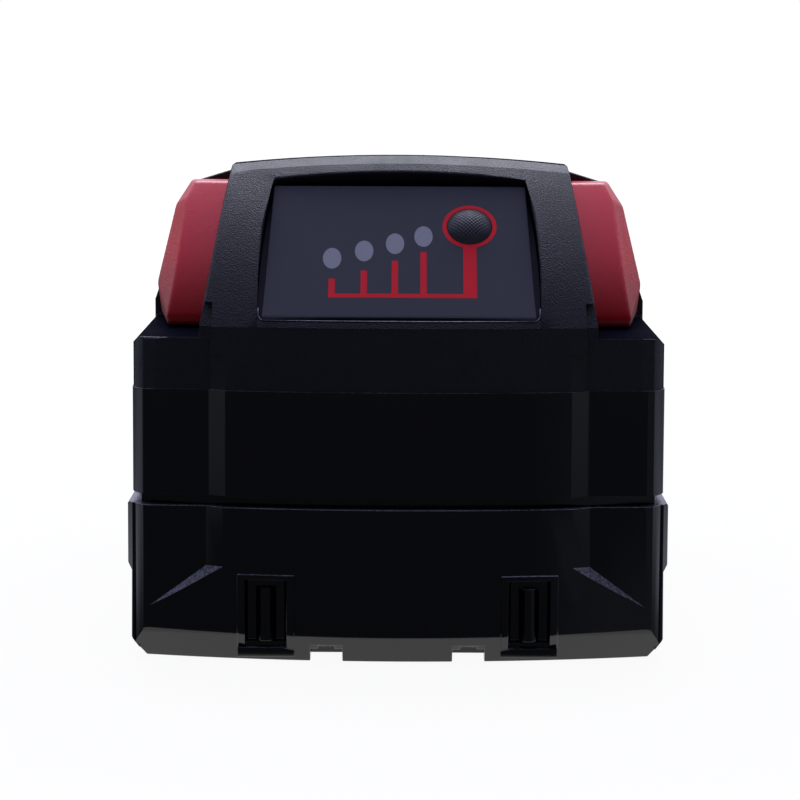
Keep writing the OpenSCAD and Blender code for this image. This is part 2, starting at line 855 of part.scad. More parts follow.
// Post under the ledge that takes a case screw
module screw_post() {
    foot = boss_h + fit_gap;
    difference() {
        translate([0, 0, foot]) cylinder(r = boss_r - 0.6, h = z_ceiling + eps - foot);
        translate([0, 0, foot - 1]) cylinder(r = screw_r + 0.05, h = screw_l);
    }
}

// Rib in the middle of the hood that both springs push against
module spring_rib() {
    half = spring_r + spring_wire + 1;
    block([-rib_half, stem_y - half, stem_z - half],
        [rib_half, stem_y + half, z_rail - core_wall - 1 + eps]);
}

// Push latch on the +X side: pad outside, stem through the hood, arm back to the locking nose
module latch() {
    lean = 13.5;
    flare = 10;
    undercut = 8;
    lower_flare = 6.5;
    shoulder_lean = 33;
    shoulder_flare = 6;
    shoulder_h = 4.2;
    bulge = [latch_reach, latch_back, latch_low + 5];
    rise = latch_top - shoulder_h - bulge[2];
    shoulder = bulge + [-rise * tan(lean), 0, rise];
    difference() {
        intersection() {
            block([latch_in, y_front, latch_low], [half_w, latch_back, latch_top]);
            translate([0, latch_set, 0]) behind_face();
        }
        beyond(bulge, [cos(lean) * cos(flare), -sin(flare), sin(lean)]);
        beyond(bulge, [cos(undercut), -sin(lower_flare), -sin(undercut)]);
        beyond(shoulder, [cos(shoulder_lean), -sin(shoulder_flare), sin(shoulder_lean)]);
    }
    block([stem_in, stem_y - stem_w / 2, stem_z - stem_h / 2],
        [latch_in + eps, stem_y + stem_w / 2, stem_z + stem_h / 2]);
    translate([stem_in - pin_l, stem_y, stem_z]) rotate([0, 90, 0]) cylinder(r = pin_r, h = pin_l + eps);
    along_z(stem_z - stem_h / 2, stem_z + stem_h / 2) latch_arm();
}

// Arm and nose in plan: the nose is square towards the gauge and ramped towards the tool
module latch_arm() {
    front = nose_y - nose_l / 2;
    back = nose_y + nose_l / 2;
    tip = rail_foot + nose_out;
    polygon([[arm_out - arm_t, stem_y], [arm_out, stem_y], [arm_out, front], [tip, front],
        [tip, front + nose_flat], [arm_out, back], [arm_out - arm_t, back]]);
}

module latch_right() {
    color(latch_red) latch();
}

module latch_left() {
    color(latch_red) mirror([1, 0, 0]) latch();
}

// Points of a closed tube along a helix, ring by ring
function helix_ring(k, steps, length) = let (a = 360 * spring_turns * k / steps, z = length * k / steps)
    [for (j = [0:5]) let (b = 60 * j, q = spring_r + spring_wire / 2 * cos(b))
        [q * cos(a), q * sin(a), z + spring_wire / 2 * sin(b)]];

module helix(length) {
    steps = spring_turns * 8;
    rings = [for (k = [0:steps]) each helix_ring(k, steps, length)];
    sides = [for (k = [0:steps - 1]) for (j = [0:5]) let (a = 6 * k + j, b = 6 * k + (j + 1) % 6)
        each [[a, b, a + 6], [b, b + 6, a + 6]]];
    ends = [for (j = [1:4]) each [[0, j + 1, j], [6 * steps, 6 * steps + j, 6 * steps + j + 1]]];
    polyhedron(rings, [for (f = concat(sides, ends)) [f[0], f[2], f[1]]]);
}

module latch_spring(side) {
    seat = rib_half + spring_gap + spring_wire / 2;
    length = stem_in - spring_gap - spring_wire / 2 - seat;
    color(steel) mirror([(1 - side) / 2, 0, 0])
        translate([seat, stem_y, stem_z]) rotate([0, 90, 0]) helix(length);
}

// Lens and LED outline on the face
module oval(w, l) {
    translate([0, (l - w) / 2]) circle(w / 2);
    translate([0, (w - l) / 2]) circle(w / 2);
    square([w, l - w], center = true);
}

module lens_places() {
    for (at = lens_at) translate(at) children();
}

// Plate in the window: a raised pad on a flange that seats behind the face, with posts for the board
module gauge_panel() {
    pad_low = win_low + 0.7;
    pad_high = win_high - 1.4;
    foot = 20.2;
    head = 19;
    color([0.2, 0.2, 0.25]) difference() {
        union() {
            at_depth(panel_sink, d_seat + eps)
                polygon([[-foot, pad_low], [foot, pad_low], [head, pad_high], [-head, pad_high]]);
            at_depth(d_seat, d_flange) translate([-gauge_half, gauge_low])
                square([2 * gauge_half, gauge_high - gauge_low]);
            at_depth(d_flange - eps, d_gauge) for (at = post_at) translate(at) circle(gauge_post_r);
        }
        at_depth(panel_sink - 1, d_flange + 1) translate(button_at) circle(button_d / 2 + button_fit);
        at_depth(panel_sink - 1, d_flange + 1)
            lens_places() oval(lens_w + 2 * button_fit, lens_l + 2 * button_fit);
        at_depth(d_flange, d_gauge + 1) for (at = post_at) translate(at) circle(gauge_screw_r);
    }
}

// Light guides from the LEDs to the face of the panel
module gauge_lenses() {
    lip = 0.7;
    color([0.6, 0.6, 0.68]) lens_places_3d() {
        at_depth(panel_sink - 0.1, d_flange + lip) oval(lens_w, lens_l);
        at_depth(d_flange, d_flange + lip) oval(lens_w + 1.2, lens_l + 1.2);
    }
}

module lens_places_3d() {
    for (at = lens_at) {
        shift = [at[0], at[1] * sin(slope), at[1] * cos(slope)];
        translate(shift) children();
    }
}

// Domed push button, held behind the panel by its lip
module gauge_button() {
    r = button_d / 2;
    dome_h = 1.5;
    dome_r = (r * r + dome_h * dome_h) / (2 * dome_h);
    color([0.06, 0.06, 0.07]) on_face() translate([button_at[0], button_at[1], 0]) {
        translate([0, 0, -d_flange - button_gap]) cylinder(r = r, h = d_flange + button_gap - panel_sink);
        intersection() {
            translate([0, 0, dome_h - panel_sink - dome_r]) sphere(dome_r, $fn = 96);
            translate([0, 0, -panel_sink - eps]) cylinder(r = r, h = dome_h + 1);
        }
        translate([0, 0, -d_flange - button_gap - button_lip]) cylinder(r = r + 0.8, h = button_lip);
    }
}

plunger_r = 1.1;
plunger_fit = 0.08;

// Plunger of the push switch, which moves with the button
module switch_plunger() {
    top = d_flange + button_gap + button_lip;
    color([0.9, 0.9, 0.85]) at_depth(top, d_switch + 0.6) translate(button_at) circle(plunger_r);
}

module gauge_switch() {
    half = 3;
    color([0.2, 0.2, 0.2]) at_depth(d_switch, d_gauge) translate(button_at) difference() {
        square(2 * half, center = true);
        circle(plunger_r + plunger_fit);
    }
}

module gauge_leds() {
    color([0.9, 0.9, 0.8]) lens_places_3d() at_depth(d_gauge - 1, d_gauge) square([2, 1.6], center = true);
}

module gauge_board() {
    color(board_green) at_depth(d_gauge, d_gauge + gauge_board_t) difference() {
        translate([-gauge_half + 1, gauge_low + 1.5])
            square([2 * gauge_half - 2, gauge_high - gauge_low - 2]);
        for (at = post_at) translate(at) circle(gauge_screw_r + 0.1);
    }
}

// Screws through the gauge board into the panel's posts
module gauge_screws() {
    back = d_gauge + gauge_board_t;
    color(steel) for (at = post_at) {
        at_depth(d_flange + 0.2, back + eps) translate(at) circle(gauge_screw_r - 0.03);
        at_depth(back, back + 0.5) translate(at) circle(gauge_screw_head);
    }
}

// Flat cable from the back of the gauge board to the deck of the main board
module gauge_cable() {
    depth = d_gauge + gauge_board_t;
    low = gauge_low + 2;
    start = [y_front + low * sin(slope) + depth * cos(slope),
        z_brow + low * cos(slope) - depth * sin(slope)];
    lift = cable_t * [sin(slope), cos(slope)];
    bend = [start[0] + 2, z_deck];
    color([0.85, 0.85, 0.82]) along_x(-cable_half, cable_half) polygon([start, start + 4 * lift,
        [bend[0] + 2, z_deck + 1.2], [board_y0 + 5, z_deck + cable_t], [board_y0 + 5, z_deck], bend]);
}

module main_board() {
    color(board_green) along_z(z_board, z_deck) difference() {
        translate([-frame_x, board_y0]) square([2 * frame_x, board_y1 - board_y0]);
        board_places() circle(board_hole_r);
    }
}

module board_places() {
    for (x = [-post_x, post_x]) {
        for (k = [0, columns - 2]) translate([x, post_y(k)]) children();
    }
}

// Power transistors, controller, capacitors and the gauge connector on the main board
module board_parts() {
    lane = core_half - core_wall - 3;
    color([0.1, 0.1, 0.11]) {
        for (k = [-1:1]) translate([k * lane * 0.6 - 3.2, post_y(1) + 4, z_deck]) cube([6.4, 9, 2.3]);
        translate([-4, post_y(1) - 9, z_deck]) cube([8, 8, 1.2]);
        translate([-cable_half - 1, board_y0 + 5.2, z_deck]) cube([2 * cable_half + 2, 3.5, 2.4]);
        for (x = [-lane, lane]) translate([x, post_y(1) - 4, z_deck]) cylinder(r = 2.4, h = 5);
    }
}

module board_screws() {
    color(steel) {
        along_z(z_deck - board_screw_l, z_deck + eps) board_places() circle(board_screw_r);
        along_z(z_deck, z_deck + board_head_h) board_places() circle(board_head_r);
    }
}

// Insulator block with a chamber for each contact, open to the top and to the rear
module terminal_block() {
    half = contact_w / 2 + contact_fit;
    color(frame_black) difference() {
        block([-block_half, block_y0, z_deck], [block_half, block_y1, block_top]);
        blade_places() {
            block([-half, contact_y - contact_fit, contact_z],
                [half, contact_y + contact_l + contact_fit, block_top + 1]);
            block([-slot_w / 2, contact_y, slot_floor], [slot_w / 2, block_y1 + 1, block_top + 1]);
        }
    }
}

// Female contact: a foot and two leaves that bow in towards the blade
module contact() {
    half = contact_w / 2;
    mouth = 0.4;
    along_y(contact_y, contact_y + contact_l) translate([0, contact_z]) both_sides() {
        square([half, contact_t]);
        polygon([[half - contact_t, 0], [half, 0], [half, contact_h / 3],
            [mouth + contact_t, contact_h * 0.8], [half - mouth, contact_h],
            [half - mouth - contact_t, contact_h], [mouth, contact_h * 0.8],
            [half - contact_t, contact_h / 3]]);
    }
}

module power_contacts() {
    color(copper) for (side = [-1, 1]) translate([side * (blades - 1) / 2 * slot_pitch, 0, 0]) contact();
}

module signal_contacts() {
    color(copper) for (k = [-1:1]) translate([k * slot_pitch, 0, 0]) contact();
}

// Frame on the +X ends of the cells: pockets for the cells, weld windows in the end web, board posts
module cell_frame() {
    inner = frame_x - frame_web - frame_grip;
    difference() {
        union() {
            block([inner, frame_y, tray_floor], [frame_x, frame_y + frame_l, z_frame]);
            for (k = [0, columns - 2]) translate([post_x, post_y(k), z_frame - eps])
                cylinder(r = board_post_r, h = board_lift + eps);
        }
        for (c = cells) translate([0, cell_y(c[0]), cell_z(c[1])]) rotate([0, 90, 0]) {
            translate([0, 0, inner - 1]) cylinder(r = cell_r + cell_fit, h = frame_grip + 1);
            cylinder(r = weld_r, h = frame_x + 1);
        }
        for (k = [0, columns - 2]) translate([post_x, post_y(k), z_deck - board_screw_l - 0.5])
            cylinder(r = board_screw_r + 0.05, h = board_screw_l + 1);
    }
}

module cell_frame_right() {
    color(frame_black) cell_frame();
}

module cell_frame_left() {
    color(frame_black) mirror([1, 0, 0]) cell_frame();
}

// One cell on the X axis with its cap towards +X: can, crimp groove and cap
module cell() {
    shoulder = cell_l - cap_h;
    crimp = shoulder - 3;
    color([0.1, 0.45, 0.5]) rotate([0, 90, 0]) translate([0, 0, -cell_l / 2]) rotate_extrude()
        polygon([[0, 0], [cell_r - 0.4, 0], [cell_r, 0.4], [cell_r, crimp - crimp_d],
            [cell_r - crimp_d, crimp], [cell_r, crimp + crimp_d], [cell_r, shoulder - 0.5],
            [cell_r - 0.5, shoulder], [cap_r, shoulder], [cap_r, cell_l], [0, cell_l]]);
}

// Columns alternate, so that each strip joins plus to minus
function cap_side(column) = column % 2 == 0 ? -1 : 1;

module cell_at(column, layer) {
    translate([0, cell_y(column), cell_z(layer)]) mirror([(1 - cap_side(column)) / 2, 0, 0]) children();
}

module insulator_rings() {
    ring_r = cell_r - 0.8;
    color([0.85, 0.82, 0.7]) for (c = cells) cell_at(c[0], c[1]) translate([cell_l / 2 - cap_h, 0, 0])
        rotate([0, 90, 0]) difference() {
            cylinder(r = ring_r, h = cap_h);
            translate([0, 0, -1]) cylinder(r = cap_r + 0.3, h = cap_h + 2);
        }
}

// Nickel strip over one or two columns, with a weld pad on each cell and a tab up to the board
module strip(first, last) {
    pad = weld_r - weld_in;
    y0 = cell_y(first) - pad;
    y1 = cell_y(last) + pad;
    middle = (y0 + y1) / 2;
    along_x(frame_x, strip_x) {
        translate([y0, cell_z(0) - pad]) square([y1 - y0, pitch_z + 2 * pad]);
        translate([middle - tab_w / 2, cell_z(1)]) square([tab_w, z_deck - cell_z(1)]);
    }
    for (column = [first:last]) {
        for (layer = [0:layers - 1]) translate([cell_l / 2, cell_y(column), cell_z(layer)])
            rotate([0, 90, 0]) cylinder(r = min(pad, cap_r), h = frame_web + eps);
    }
}

module strip_piece(entry) {
    color(nickel) mirror([(1 - entry[3]) / 2, 0, 0]) strip(entry[1], entry[2]);
}

// Insulating sheet between the strips and the case
module end_sheet() {
    block([strip_x, frame_y + 1, tray_floor + 1], [sheet_x, frame_y + frame_l - 1, z_frame - 0.5]);
}

module end_sheet_right() {
    color([0.9, 0.85, 0.6]) end_sheet();
}

module end_sheet_left() {
    color([0.9, 0.85, 0.6]) mirror([1, 0, 0]) end_sheet();
}

// Temperature bead on the middle cell, on two leads from the main board
module thermistor() {
    bead_r = (z_board - cell_z(1) - cell_r) / 2 - 0.2;
    bead_z = cell_z(1) + cell_r + 0.1 + bead_r;
    color([0.15, 0.15, 0.3]) translate([0, cell_y(2), bead_z]) {
        sphere(bead_r, $fn = 32);
        for (x = [-0.5, 0.5]) translate([x, 0, 0]) cylinder(r = 0.25, h = z_board - bead_z);
    }
}

// Foam between the tray floor and the cells
module floor_pad() {
    half = frame_x - frame_web - frame_grip - 0.5;
    color([0.3, 0.3, 0.32]) block([-half, frame_y + 1, tray_floor],
        [half, frame_y + frame_l - 1, tray_floor + frame_rim - 0.1]);
}

module case_screws() {
    color(steel) boss_places() {
        translate([0, 0, z_head - head_h]) cylinder(r = head_r, h = head_h);
        translate([0, 0, z_head - eps]) cylinder(r = screw_r, h = screw_l);
    }
}

upper_housing();
middle_housing();
lower_tray();
latch_left();
latch_right();
latch_spring(-1);  // latch_spring_left
latch_spring(1);  // latch_spring_right
gauge_panel();
gauge_lenses();
gauge_button();
switch_plunger();
gauge_switch();
gauge_leds();
gauge_board();
gauge_screws();
gauge_cable();
main_board();
board_parts();
board_screws();
terminal_block();
power_contacts();
signal_contacts();
cell_frame_left();
cell_frame_right();
for (k = [1:len(cells)]) {
    cell_at(cells[k - 1][0], cells[k - 1][1]) cell();
}
insulator_rings();
for (entry = strips) {
    strip_piece(entry);
}
end_sheet_left();
end_sheet_right();
thermistor();
floor_pad();
case_screws();
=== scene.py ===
# %% [markdown]
# A battery pack for a cordless tool, dressed for a picture.
# The CAD solids already have the right size and place. This lesson gives them what a mould, a spark
# eroder, a press and a printer leave on the real pack: soft edges, grain, polish, ink and plating.
# The frame is loaded first, because every later piece takes its place from it.

# %% Load the frame
import json
import math
import bmesh
import bpy
from mathutils import Matrix, Vector
from mathutils.bvhtree import BVHTree
from mathutils.kdtree import KDTree


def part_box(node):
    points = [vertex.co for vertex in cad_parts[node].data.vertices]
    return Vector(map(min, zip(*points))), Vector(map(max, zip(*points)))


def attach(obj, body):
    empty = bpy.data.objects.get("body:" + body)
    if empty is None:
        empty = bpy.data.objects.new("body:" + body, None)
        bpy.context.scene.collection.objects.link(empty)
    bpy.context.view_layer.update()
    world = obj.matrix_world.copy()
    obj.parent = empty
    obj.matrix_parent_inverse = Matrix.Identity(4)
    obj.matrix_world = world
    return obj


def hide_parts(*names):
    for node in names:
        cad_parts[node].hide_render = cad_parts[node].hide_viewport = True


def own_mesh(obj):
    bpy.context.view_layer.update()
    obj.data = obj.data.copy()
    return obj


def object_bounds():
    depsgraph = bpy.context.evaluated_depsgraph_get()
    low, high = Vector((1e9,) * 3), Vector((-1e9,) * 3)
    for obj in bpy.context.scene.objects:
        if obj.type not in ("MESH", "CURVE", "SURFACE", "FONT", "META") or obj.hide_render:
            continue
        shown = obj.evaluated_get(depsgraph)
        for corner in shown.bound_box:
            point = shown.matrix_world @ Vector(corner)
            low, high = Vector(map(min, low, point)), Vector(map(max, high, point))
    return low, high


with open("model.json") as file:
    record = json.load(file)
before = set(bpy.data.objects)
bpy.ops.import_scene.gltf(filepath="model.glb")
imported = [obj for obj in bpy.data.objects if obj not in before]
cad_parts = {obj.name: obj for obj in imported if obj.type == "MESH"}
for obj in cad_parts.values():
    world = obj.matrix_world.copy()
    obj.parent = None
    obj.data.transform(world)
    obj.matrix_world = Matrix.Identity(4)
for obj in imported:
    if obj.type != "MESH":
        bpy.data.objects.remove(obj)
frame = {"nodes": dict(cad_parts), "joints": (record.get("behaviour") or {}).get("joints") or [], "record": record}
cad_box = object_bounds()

MM = 0.001
cad_low, cad_high = Vector(cad_box[0]), Vector(cad_box[1])
scene = bpy.context.scene
scene.view_settings.view_transform = "Standard"
print("CAD box in mm:", [round(v / MM, 2) for v in cad_high - cad_low], "nodes:", len(frame["nodes"]))

# %% [markdown]
# The camera stands a little above the pack and looks straight at the gauge. A long lens from half a
# metre keeps the sides nearly parallel, as a product photographer would. A turn of a third of a degree
# about the view line and a small shift put the pack where the picture has it.

# %% Camera
def add_camera(aim_height, distance, elevation, roll, lens, shift):
    target = Vector((0, cad_low.y, aim_height))
    data = bpy.data.cameras.new("product_camera")
    data.lens = lens
    data.shift_x, data.shift_y = shift
    data.clip_start = 0.01
    camera = bpy.data.objects.new("product_camera", data)
    scene.collection.objects.link(camera)
    rise = math.radians(elevation)
    turn = Matrix.Rotation(math.radians(90 - elevation), 4, "X") @ Matrix.Rotation(math.radians(roll), 4, "Z")
    back = Vector((0, -math.cos(rise), math.sin(rise)))
    camera.matrix_world = Matrix.Translation(target + back * distance) @ turn
    scene.camera = camera
    return camera


camera = add_camera(aim_height=37 * MM, distance=450 * MM, elevation=7, roll=0.3, lens=137.9,
                    shift=(0.0019, 0.0237))
print("camera at", [round(v, 4) for v in camera.matrix_world.translation])

# %% [markdown]
# Node trees are easier to read when one small helper makes a node, sets its options and joins its
# inputs. A key of the inputs is a socket's name or its number, and a value is a number or the socket
# that feeds it. On top of it stand short helpers for what comes up again and again: a sum, a ramp
# from one range to another, a noise, coordinates and a blend of two colours.

# %% Helpers for node trees
def join(tree, node, inputs):
    for key, value in inputs.items():
        if isinstance(value, bpy.types.NodeSocket):
            tree.links.new(value, node.inputs[key])
        else:
            node.inputs[key].default_value = value
    return node


def place(tree, kind, inputs=None, **options):
    node = tree.nodes.new(kind if kind.startswith("GeometryNode") else "ShaderNode" + kind)
    for key, value in options.items():
        setattr(node, key, value)
    return join(tree, node, inputs or {})


def named(inputs):
    return {key.replace("_", " "): value for key, value in inputs.items()}


def calc(tree, operation, a, b=0.0):
    return place(tree, "Math", {0: a, 1: b}, operation=operation).outputs[0]


def weighted(tree, a, share_a, b, share_b):
    return calc(tree, "ADD", calc(tree, "MULTIPLY", a, share_a), calc(tree, "MULTIPLY", b, share_b))


def ramp(tree, value, low, high, start=0.0, end=1.0, curve="LINEAR"):
    spans = {"Value": value, "From Min": low, "From Max": high, "To Min": start, "To Max": end}
    return place(tree, "MapRange", spans, interpolation_type=curve).outputs[0]


def noise(tree, where, scale, detail, rough=0.5, twist=0.0):
    inputs = {"Vector": where, "Scale": scale, "Detail": detail, "Roughness": rough, "Distortion": twist}
    return place(tree, "TexNoise", inputs).outputs["Fac"]


def coordinates(tree, kind="Object"):
    return place(tree, "TexCoord").outputs[kind]


def part_along(tree, vector, axis):
    return place(tree, "SeparateXYZ", {0: vector}).outputs[axis]


def rgb(red, green, blue):
    return (red, green, blue, 1.0)


def blend_colours(tree, factor, *pair):
    first, second = [rgb(*c) if isinstance(c, tuple) else c for c in pair]
    return place(tree, "Mix", {0: factor, 6: first, 7: second}, data_type="RGBA").outputs[2]


# %% [markdown]
# The stage is a white sheet and a studio that is bright above and behind the pack and dark on the
# camera's side. That is why the upright fronts look black while every face that leans back picks up
# a cool sheen. The camera sees plain white behind the pack. A dark card that only reflections see
# lies round the sheet, so that the polished walls mirror the dark room, and the chamfer at the base
# still mirrors the white sheet close to it. The card is a little brighter out to both sides, and a
# faint window stands in it to the right.

# %% Floor, card, world and lamp
def flat_mesh(name, points, faces):
    mesh = bpy.data.meshes.new(name)
    mesh.from_pydata(points, [], faces)
    made = bpy.data.objects.new(name, mesh)
    scene.collection.objects.link(made)
    return made


def square_points(half_x, half_y, z):
    return [(-half_x, -half_y, z), (half_x, -half_y, z), (half_x, half_y, z), (-half_x, half_y, z)]


def bare_tree(owner):
    owner.use_nodes = True
    owner.node_tree.nodes.clear()
    return owner.node_tree


def seen_rays(tree):
    path = place(tree, "LightPath")
    direct = calc(tree, "MAXIMUM", path.outputs["Is Camera Ray"], path.outputs["Is Glossy Ray"])
    return calc(tree, "MAXIMUM", direct, path.outputs["Is Transmission Ray"])


def make_floor(half, z, glow_share):
    floor = flat_mesh("white_sheet", square_points(half, half, z), [(0, 1, 2, 3)])
    paper = bpy.data.materials.new("white_sheet")
    tree = bare_tree(paper)
    matt = place(tree, "BsdfDiffuse", {"Color": rgb(0.45, 0.45, 0.45)})
    away = place(tree, "VectorMath", {0: coordinates(tree)}, operation="LENGTH").outputs["Value"]
    level = ramp(tree, away, low=0.12, high=0.6, start=1.07, end=1.14)
    glow = place(tree, "Emission", {"Color": rgb(1, 1, 1), "Strength": level})
    share = calc(tree, "MULTIPLY", seen_rays(tree), glow_share)
    both = place(tree, "MixShader", {0: share, 1: matt.outputs[0], 2: glow.outputs[0]})
    place(tree, "OutputMaterial", {"Surface": both.outputs[0]})
    floor.data.materials.append(paper)


def make_card(inner_x, inner_y, outer, z, room, sides, window):
    points = square_points(inner_x, inner_y, z) + square_points(outer, outer, z)
    card = flat_mesh("dark_card", points, [(k, (k + 1) % 4, 4 + (k + 1) % 4, 4 + k) for k in range(4)])
    for ray in ("camera", "diffuse", "shadow", "transmission", "volume_scatter"):
        setattr(card, "visible_" + ray, False)
    felt = bpy.data.materials.new("dark_card")
    tree = bare_tree(felt)
    spot = place(tree, "SeparateXYZ", {0: coordinates(tree)}).outputs
    squares = [calc(tree, "POWER", spot[axis], 2.0) for axis in ("X", "Y")]
    turn = calc(tree, "DIVIDE", spot["X"], calc(tree, "SQRT", calc(tree, "ADD", *squares)))
    aside = calc(tree, "MULTIPLY", calc(tree, "POWER", calc(tree, "ABSOLUTE", turn), 10.0), sides)
    rise = ramp(tree, turn, low=0.3, high=0.46, end=window, curve="SMOOTHSTEP")
    fall = ramp(tree, turn, low=0.9, high=0.6, curve="SMOOTHSTEP")
    level = calc(tree, "ADD", calc(tree, "ADD", aside, calc(tree, "MULTIPLY", rise, fall)), room)
    glow = place(tree, "Emission", {"Color": rgb(0.9, 0.94, 1.16), "Strength": level})
    place(tree, "OutputMaterial", {"Surface": glow.outputs[0]})
    card.data.materials.append(felt)


def make_world(toward, level, lift):
    world = bpy.data.worlds.new("studio")
    tree = bare_tree(world)
    ray = coordinates(tree, "Generated")
    along = place(tree, "VectorMath", {0: ray, 1: toward}, operation="DOT_PRODUCT").outputs["Value"]
    bright = ramp(tree, along, low=0.22, high=0.82, start=lift, end=level)
    height = calc(tree, "MAXIMUM", part_along(tree, ray, "Z"), 0.0)
    tint = blend_colours(tree, height, (0.94, 0.93, 1.08), (0.84, 0.87, 1.36))
    room = place(tree, "Background", {"Color": tint, "Strength": bright})
    white = place(tree, "Background", {"Color": rgb(1, 1, 1), "Strength": 1.0})
    direct = place(tree, "LightPath").outputs["Is Camera Ray"]
    both = place(tree, "MixShader", {0: direct, 1: room.outputs[0], 2: white.outputs[0]})
    place(tree, "OutputWorld", {"Surface": both.outputs[0]})
    scene.world = world


def make_lamp(spot, aim, size, power):
    data = bpy.data.lights.new("overhead_softbox", "AREA")
    data.size, data.energy, data.color = size, power, (0.93, 0.96, 1.0)
    lamp = bpy.data.objects.new("overhead_softbox", data)
    scene.collection.objects.link(lamp)
    turn = (aim - spot).to_track_quat("-Z", "Y")
    lamp.matrix_world = Matrix.Translation(spot) @ turn.to_matrix().to_4x4()


up_and_back = Vector((0, 0.5, 0.866))
make_floor(half=3, z=-0.2 * MM, glow_share=0.88)
make_card(cad_high.x + 0.4 * MM, cad_high.y + 0.4 * MM, outer=2.0, z=0.3 * MM, room=0.07, sides=0.42,
          window=0.075)
make_world(up_and_back, level=1.02, lift=0.03)
make_lamp(Vector((0, 0.55, 0.7)), Vector((0, 0, 0.05)), size=0.7, power=5.0)
print("stage: sheet, card, world and one soft lamp")

# %% [markdown]
# Three effects belong to many finishes, so each is a node group that is built once. Moulded grain is
# the pebbled skin that a spark-eroded mould prints on plastic. Handling is the uneven polish that
# fingers and shelves leave. Drawn metal is the fine one-way scratching of rolled and plated strip.

# %% Shader groups
def new_group(kind, name, inputs, outputs):
    tree = bpy.data.node_groups.new(name, kind + "NodeTree")
    for side, rows in (("INPUT", inputs), ("OUTPUT", outputs)):
        for label, sort in rows.items():
            tree.interface.new_socket(label, in_out=side, socket_type="NodeSocket" + sort)
    return tree, tree.nodes.new("NodeGroupInput").outputs, tree.nodes.new("NodeGroupOutput").inputs


def build_moulded_grain():
    tree, given, result = new_group("Shader", "moulded_grain", {"Vector": "Vector", "Scale": "Float"},
                                    {"Height": "Float", "Tone": "Float"})
    where, scale = given["Vector"], given["Scale"]
    pebbles = place(tree, "TexVoronoi", {"Vector": where, "Scale": scale}, feature="F1")
    fuzz = noise(tree, where, scale, detail=2.0, rough=0.6)
    wide = noise(tree, where, scale=60.0, detail=4.0)
    low = calc(tree, "MULTIPLY", pebbles.outputs["Distance"], 0.7)
    tree.links.new(calc(tree, "SUBTRACT", fuzz, low), result["Height"])
    tree.links.new(weighted(tree, wide, 0.5, fuzz, 0.5), result["Tone"])
    return tree


def build_handling():
    tree, given, result = new_group("Shader", "handling", {"Vector": "Vector", "Polished": "Float",
                                                           "Worn": "Float"}, {"Roughness": "Float"})
    smears = noise(tree, given["Vector"], scale=55.0, detail=5.0, rough=0.65, twist=0.6)
    spread = ramp(tree, smears, low=0.35, high=0.7, start=given["Polished"], end=given["Worn"])
    tree.links.new(spread, result["Roughness"])
    return tree


def build_drawn_metal():
    tree, given, result = new_group("Shader", "drawn_metal", {"Vector": "Vector"},
                                    {"Tone": "Float", "Roughness": "Float"})
    stretch = place(tree, "Mapping", {"Vector": given["Vector"], "Scale": (900.0, 900.0, 40.0)})
    lines = noise(tree, stretch.outputs[0], scale=1.0, detail=3.0)
    clouds = noise(tree, given["Vector"], scale=180.0, detail=3.0)
    tone = weighted(tree, lines, 0.6, clouds, 0.4)
    tree.links.new(tone, result["Tone"])
    tree.links.new(ramp(tree, tone, low=0.3, high=0.7, start=0.2, end=0.42), result["Roughness"])
    return tree


grain_group, handling_group, metal_group = build_moulded_grain(), build_handling(), build_drawn_metal()
print("shader groups:", [g.name for g in bpy.data.node_groups])

# %% [markdown]
# Every finish starts from the same few lines: a Principled shader and Object coordinates, which sit
# still on a piece when it moves. Each finish is kept in one table under its name. A helper places a
# group in a material, and another one turns a height into a bump of a real depth in metres.

# %% Helpers for materials
finishes = {}


def start_material(name):
    finishes[name] = bpy.data.materials.new(name)
    finishes[name].use_nodes = True
    tree = finishes[name].node_tree
    return tree, tree.nodes["Principled BSDF"], coordinates(tree)


def use_group(tree, group, **inputs):
    return place(tree, "Group", inputs, node_tree=group).outputs


def feed(tree, shader, **sockets):
    join(tree, shader, named(sockets))


def bump(tree, height, depth):
    return place(tree, "Bump", {"Height": height, "Distance": depth, "Strength": 1.0}).outputs["Normal"]


# %% [markdown]
# The case is one black plastic in two finishes. The hood, the band and the rails are spark-eroded: a
# matt pebble about a fifth of a millimetre wide, whose sheen is lost where the eye skims over it. The
# sleeve and the tray are polished, with a faint orange peel and smears that change the roughness. Their
# faces that look upwards are etched, rougher and grained, and also carry a painted highlight: a pale
# bluish speckle in the base colour that stands for the overhead light reflected there. A grained
# plastic function serves the hidden mouldings and the gauge's plate too, with other colours and scales.

# %% Black plastics
def grained_plastic(name, dark, pale, scale, depth, polished, worn, shine=0.5):
    tree, shader, where = start_material(name)
    grain = use_group(tree, grain_group, Vector=where, Scale=scale)
    touch = use_group(tree, handling_group, Vector=where, Polished=polished, Worn=worn)
    skim = place(tree, "LayerWeight").outputs["Facing"]
    sheen = ramp(tree, skim, low=0.68, high=0.84, start=shine, end=0.0005, curve="SMOOTHSTEP")
    feed(tree, shader, Base_Color=blend_colours(tree, grain["Tone"], dark, pale),
         Roughness=touch["Roughness"], Normal=bump(tree, grain["Height"], depth * MM),
         Specular_IOR_Level=sheen)


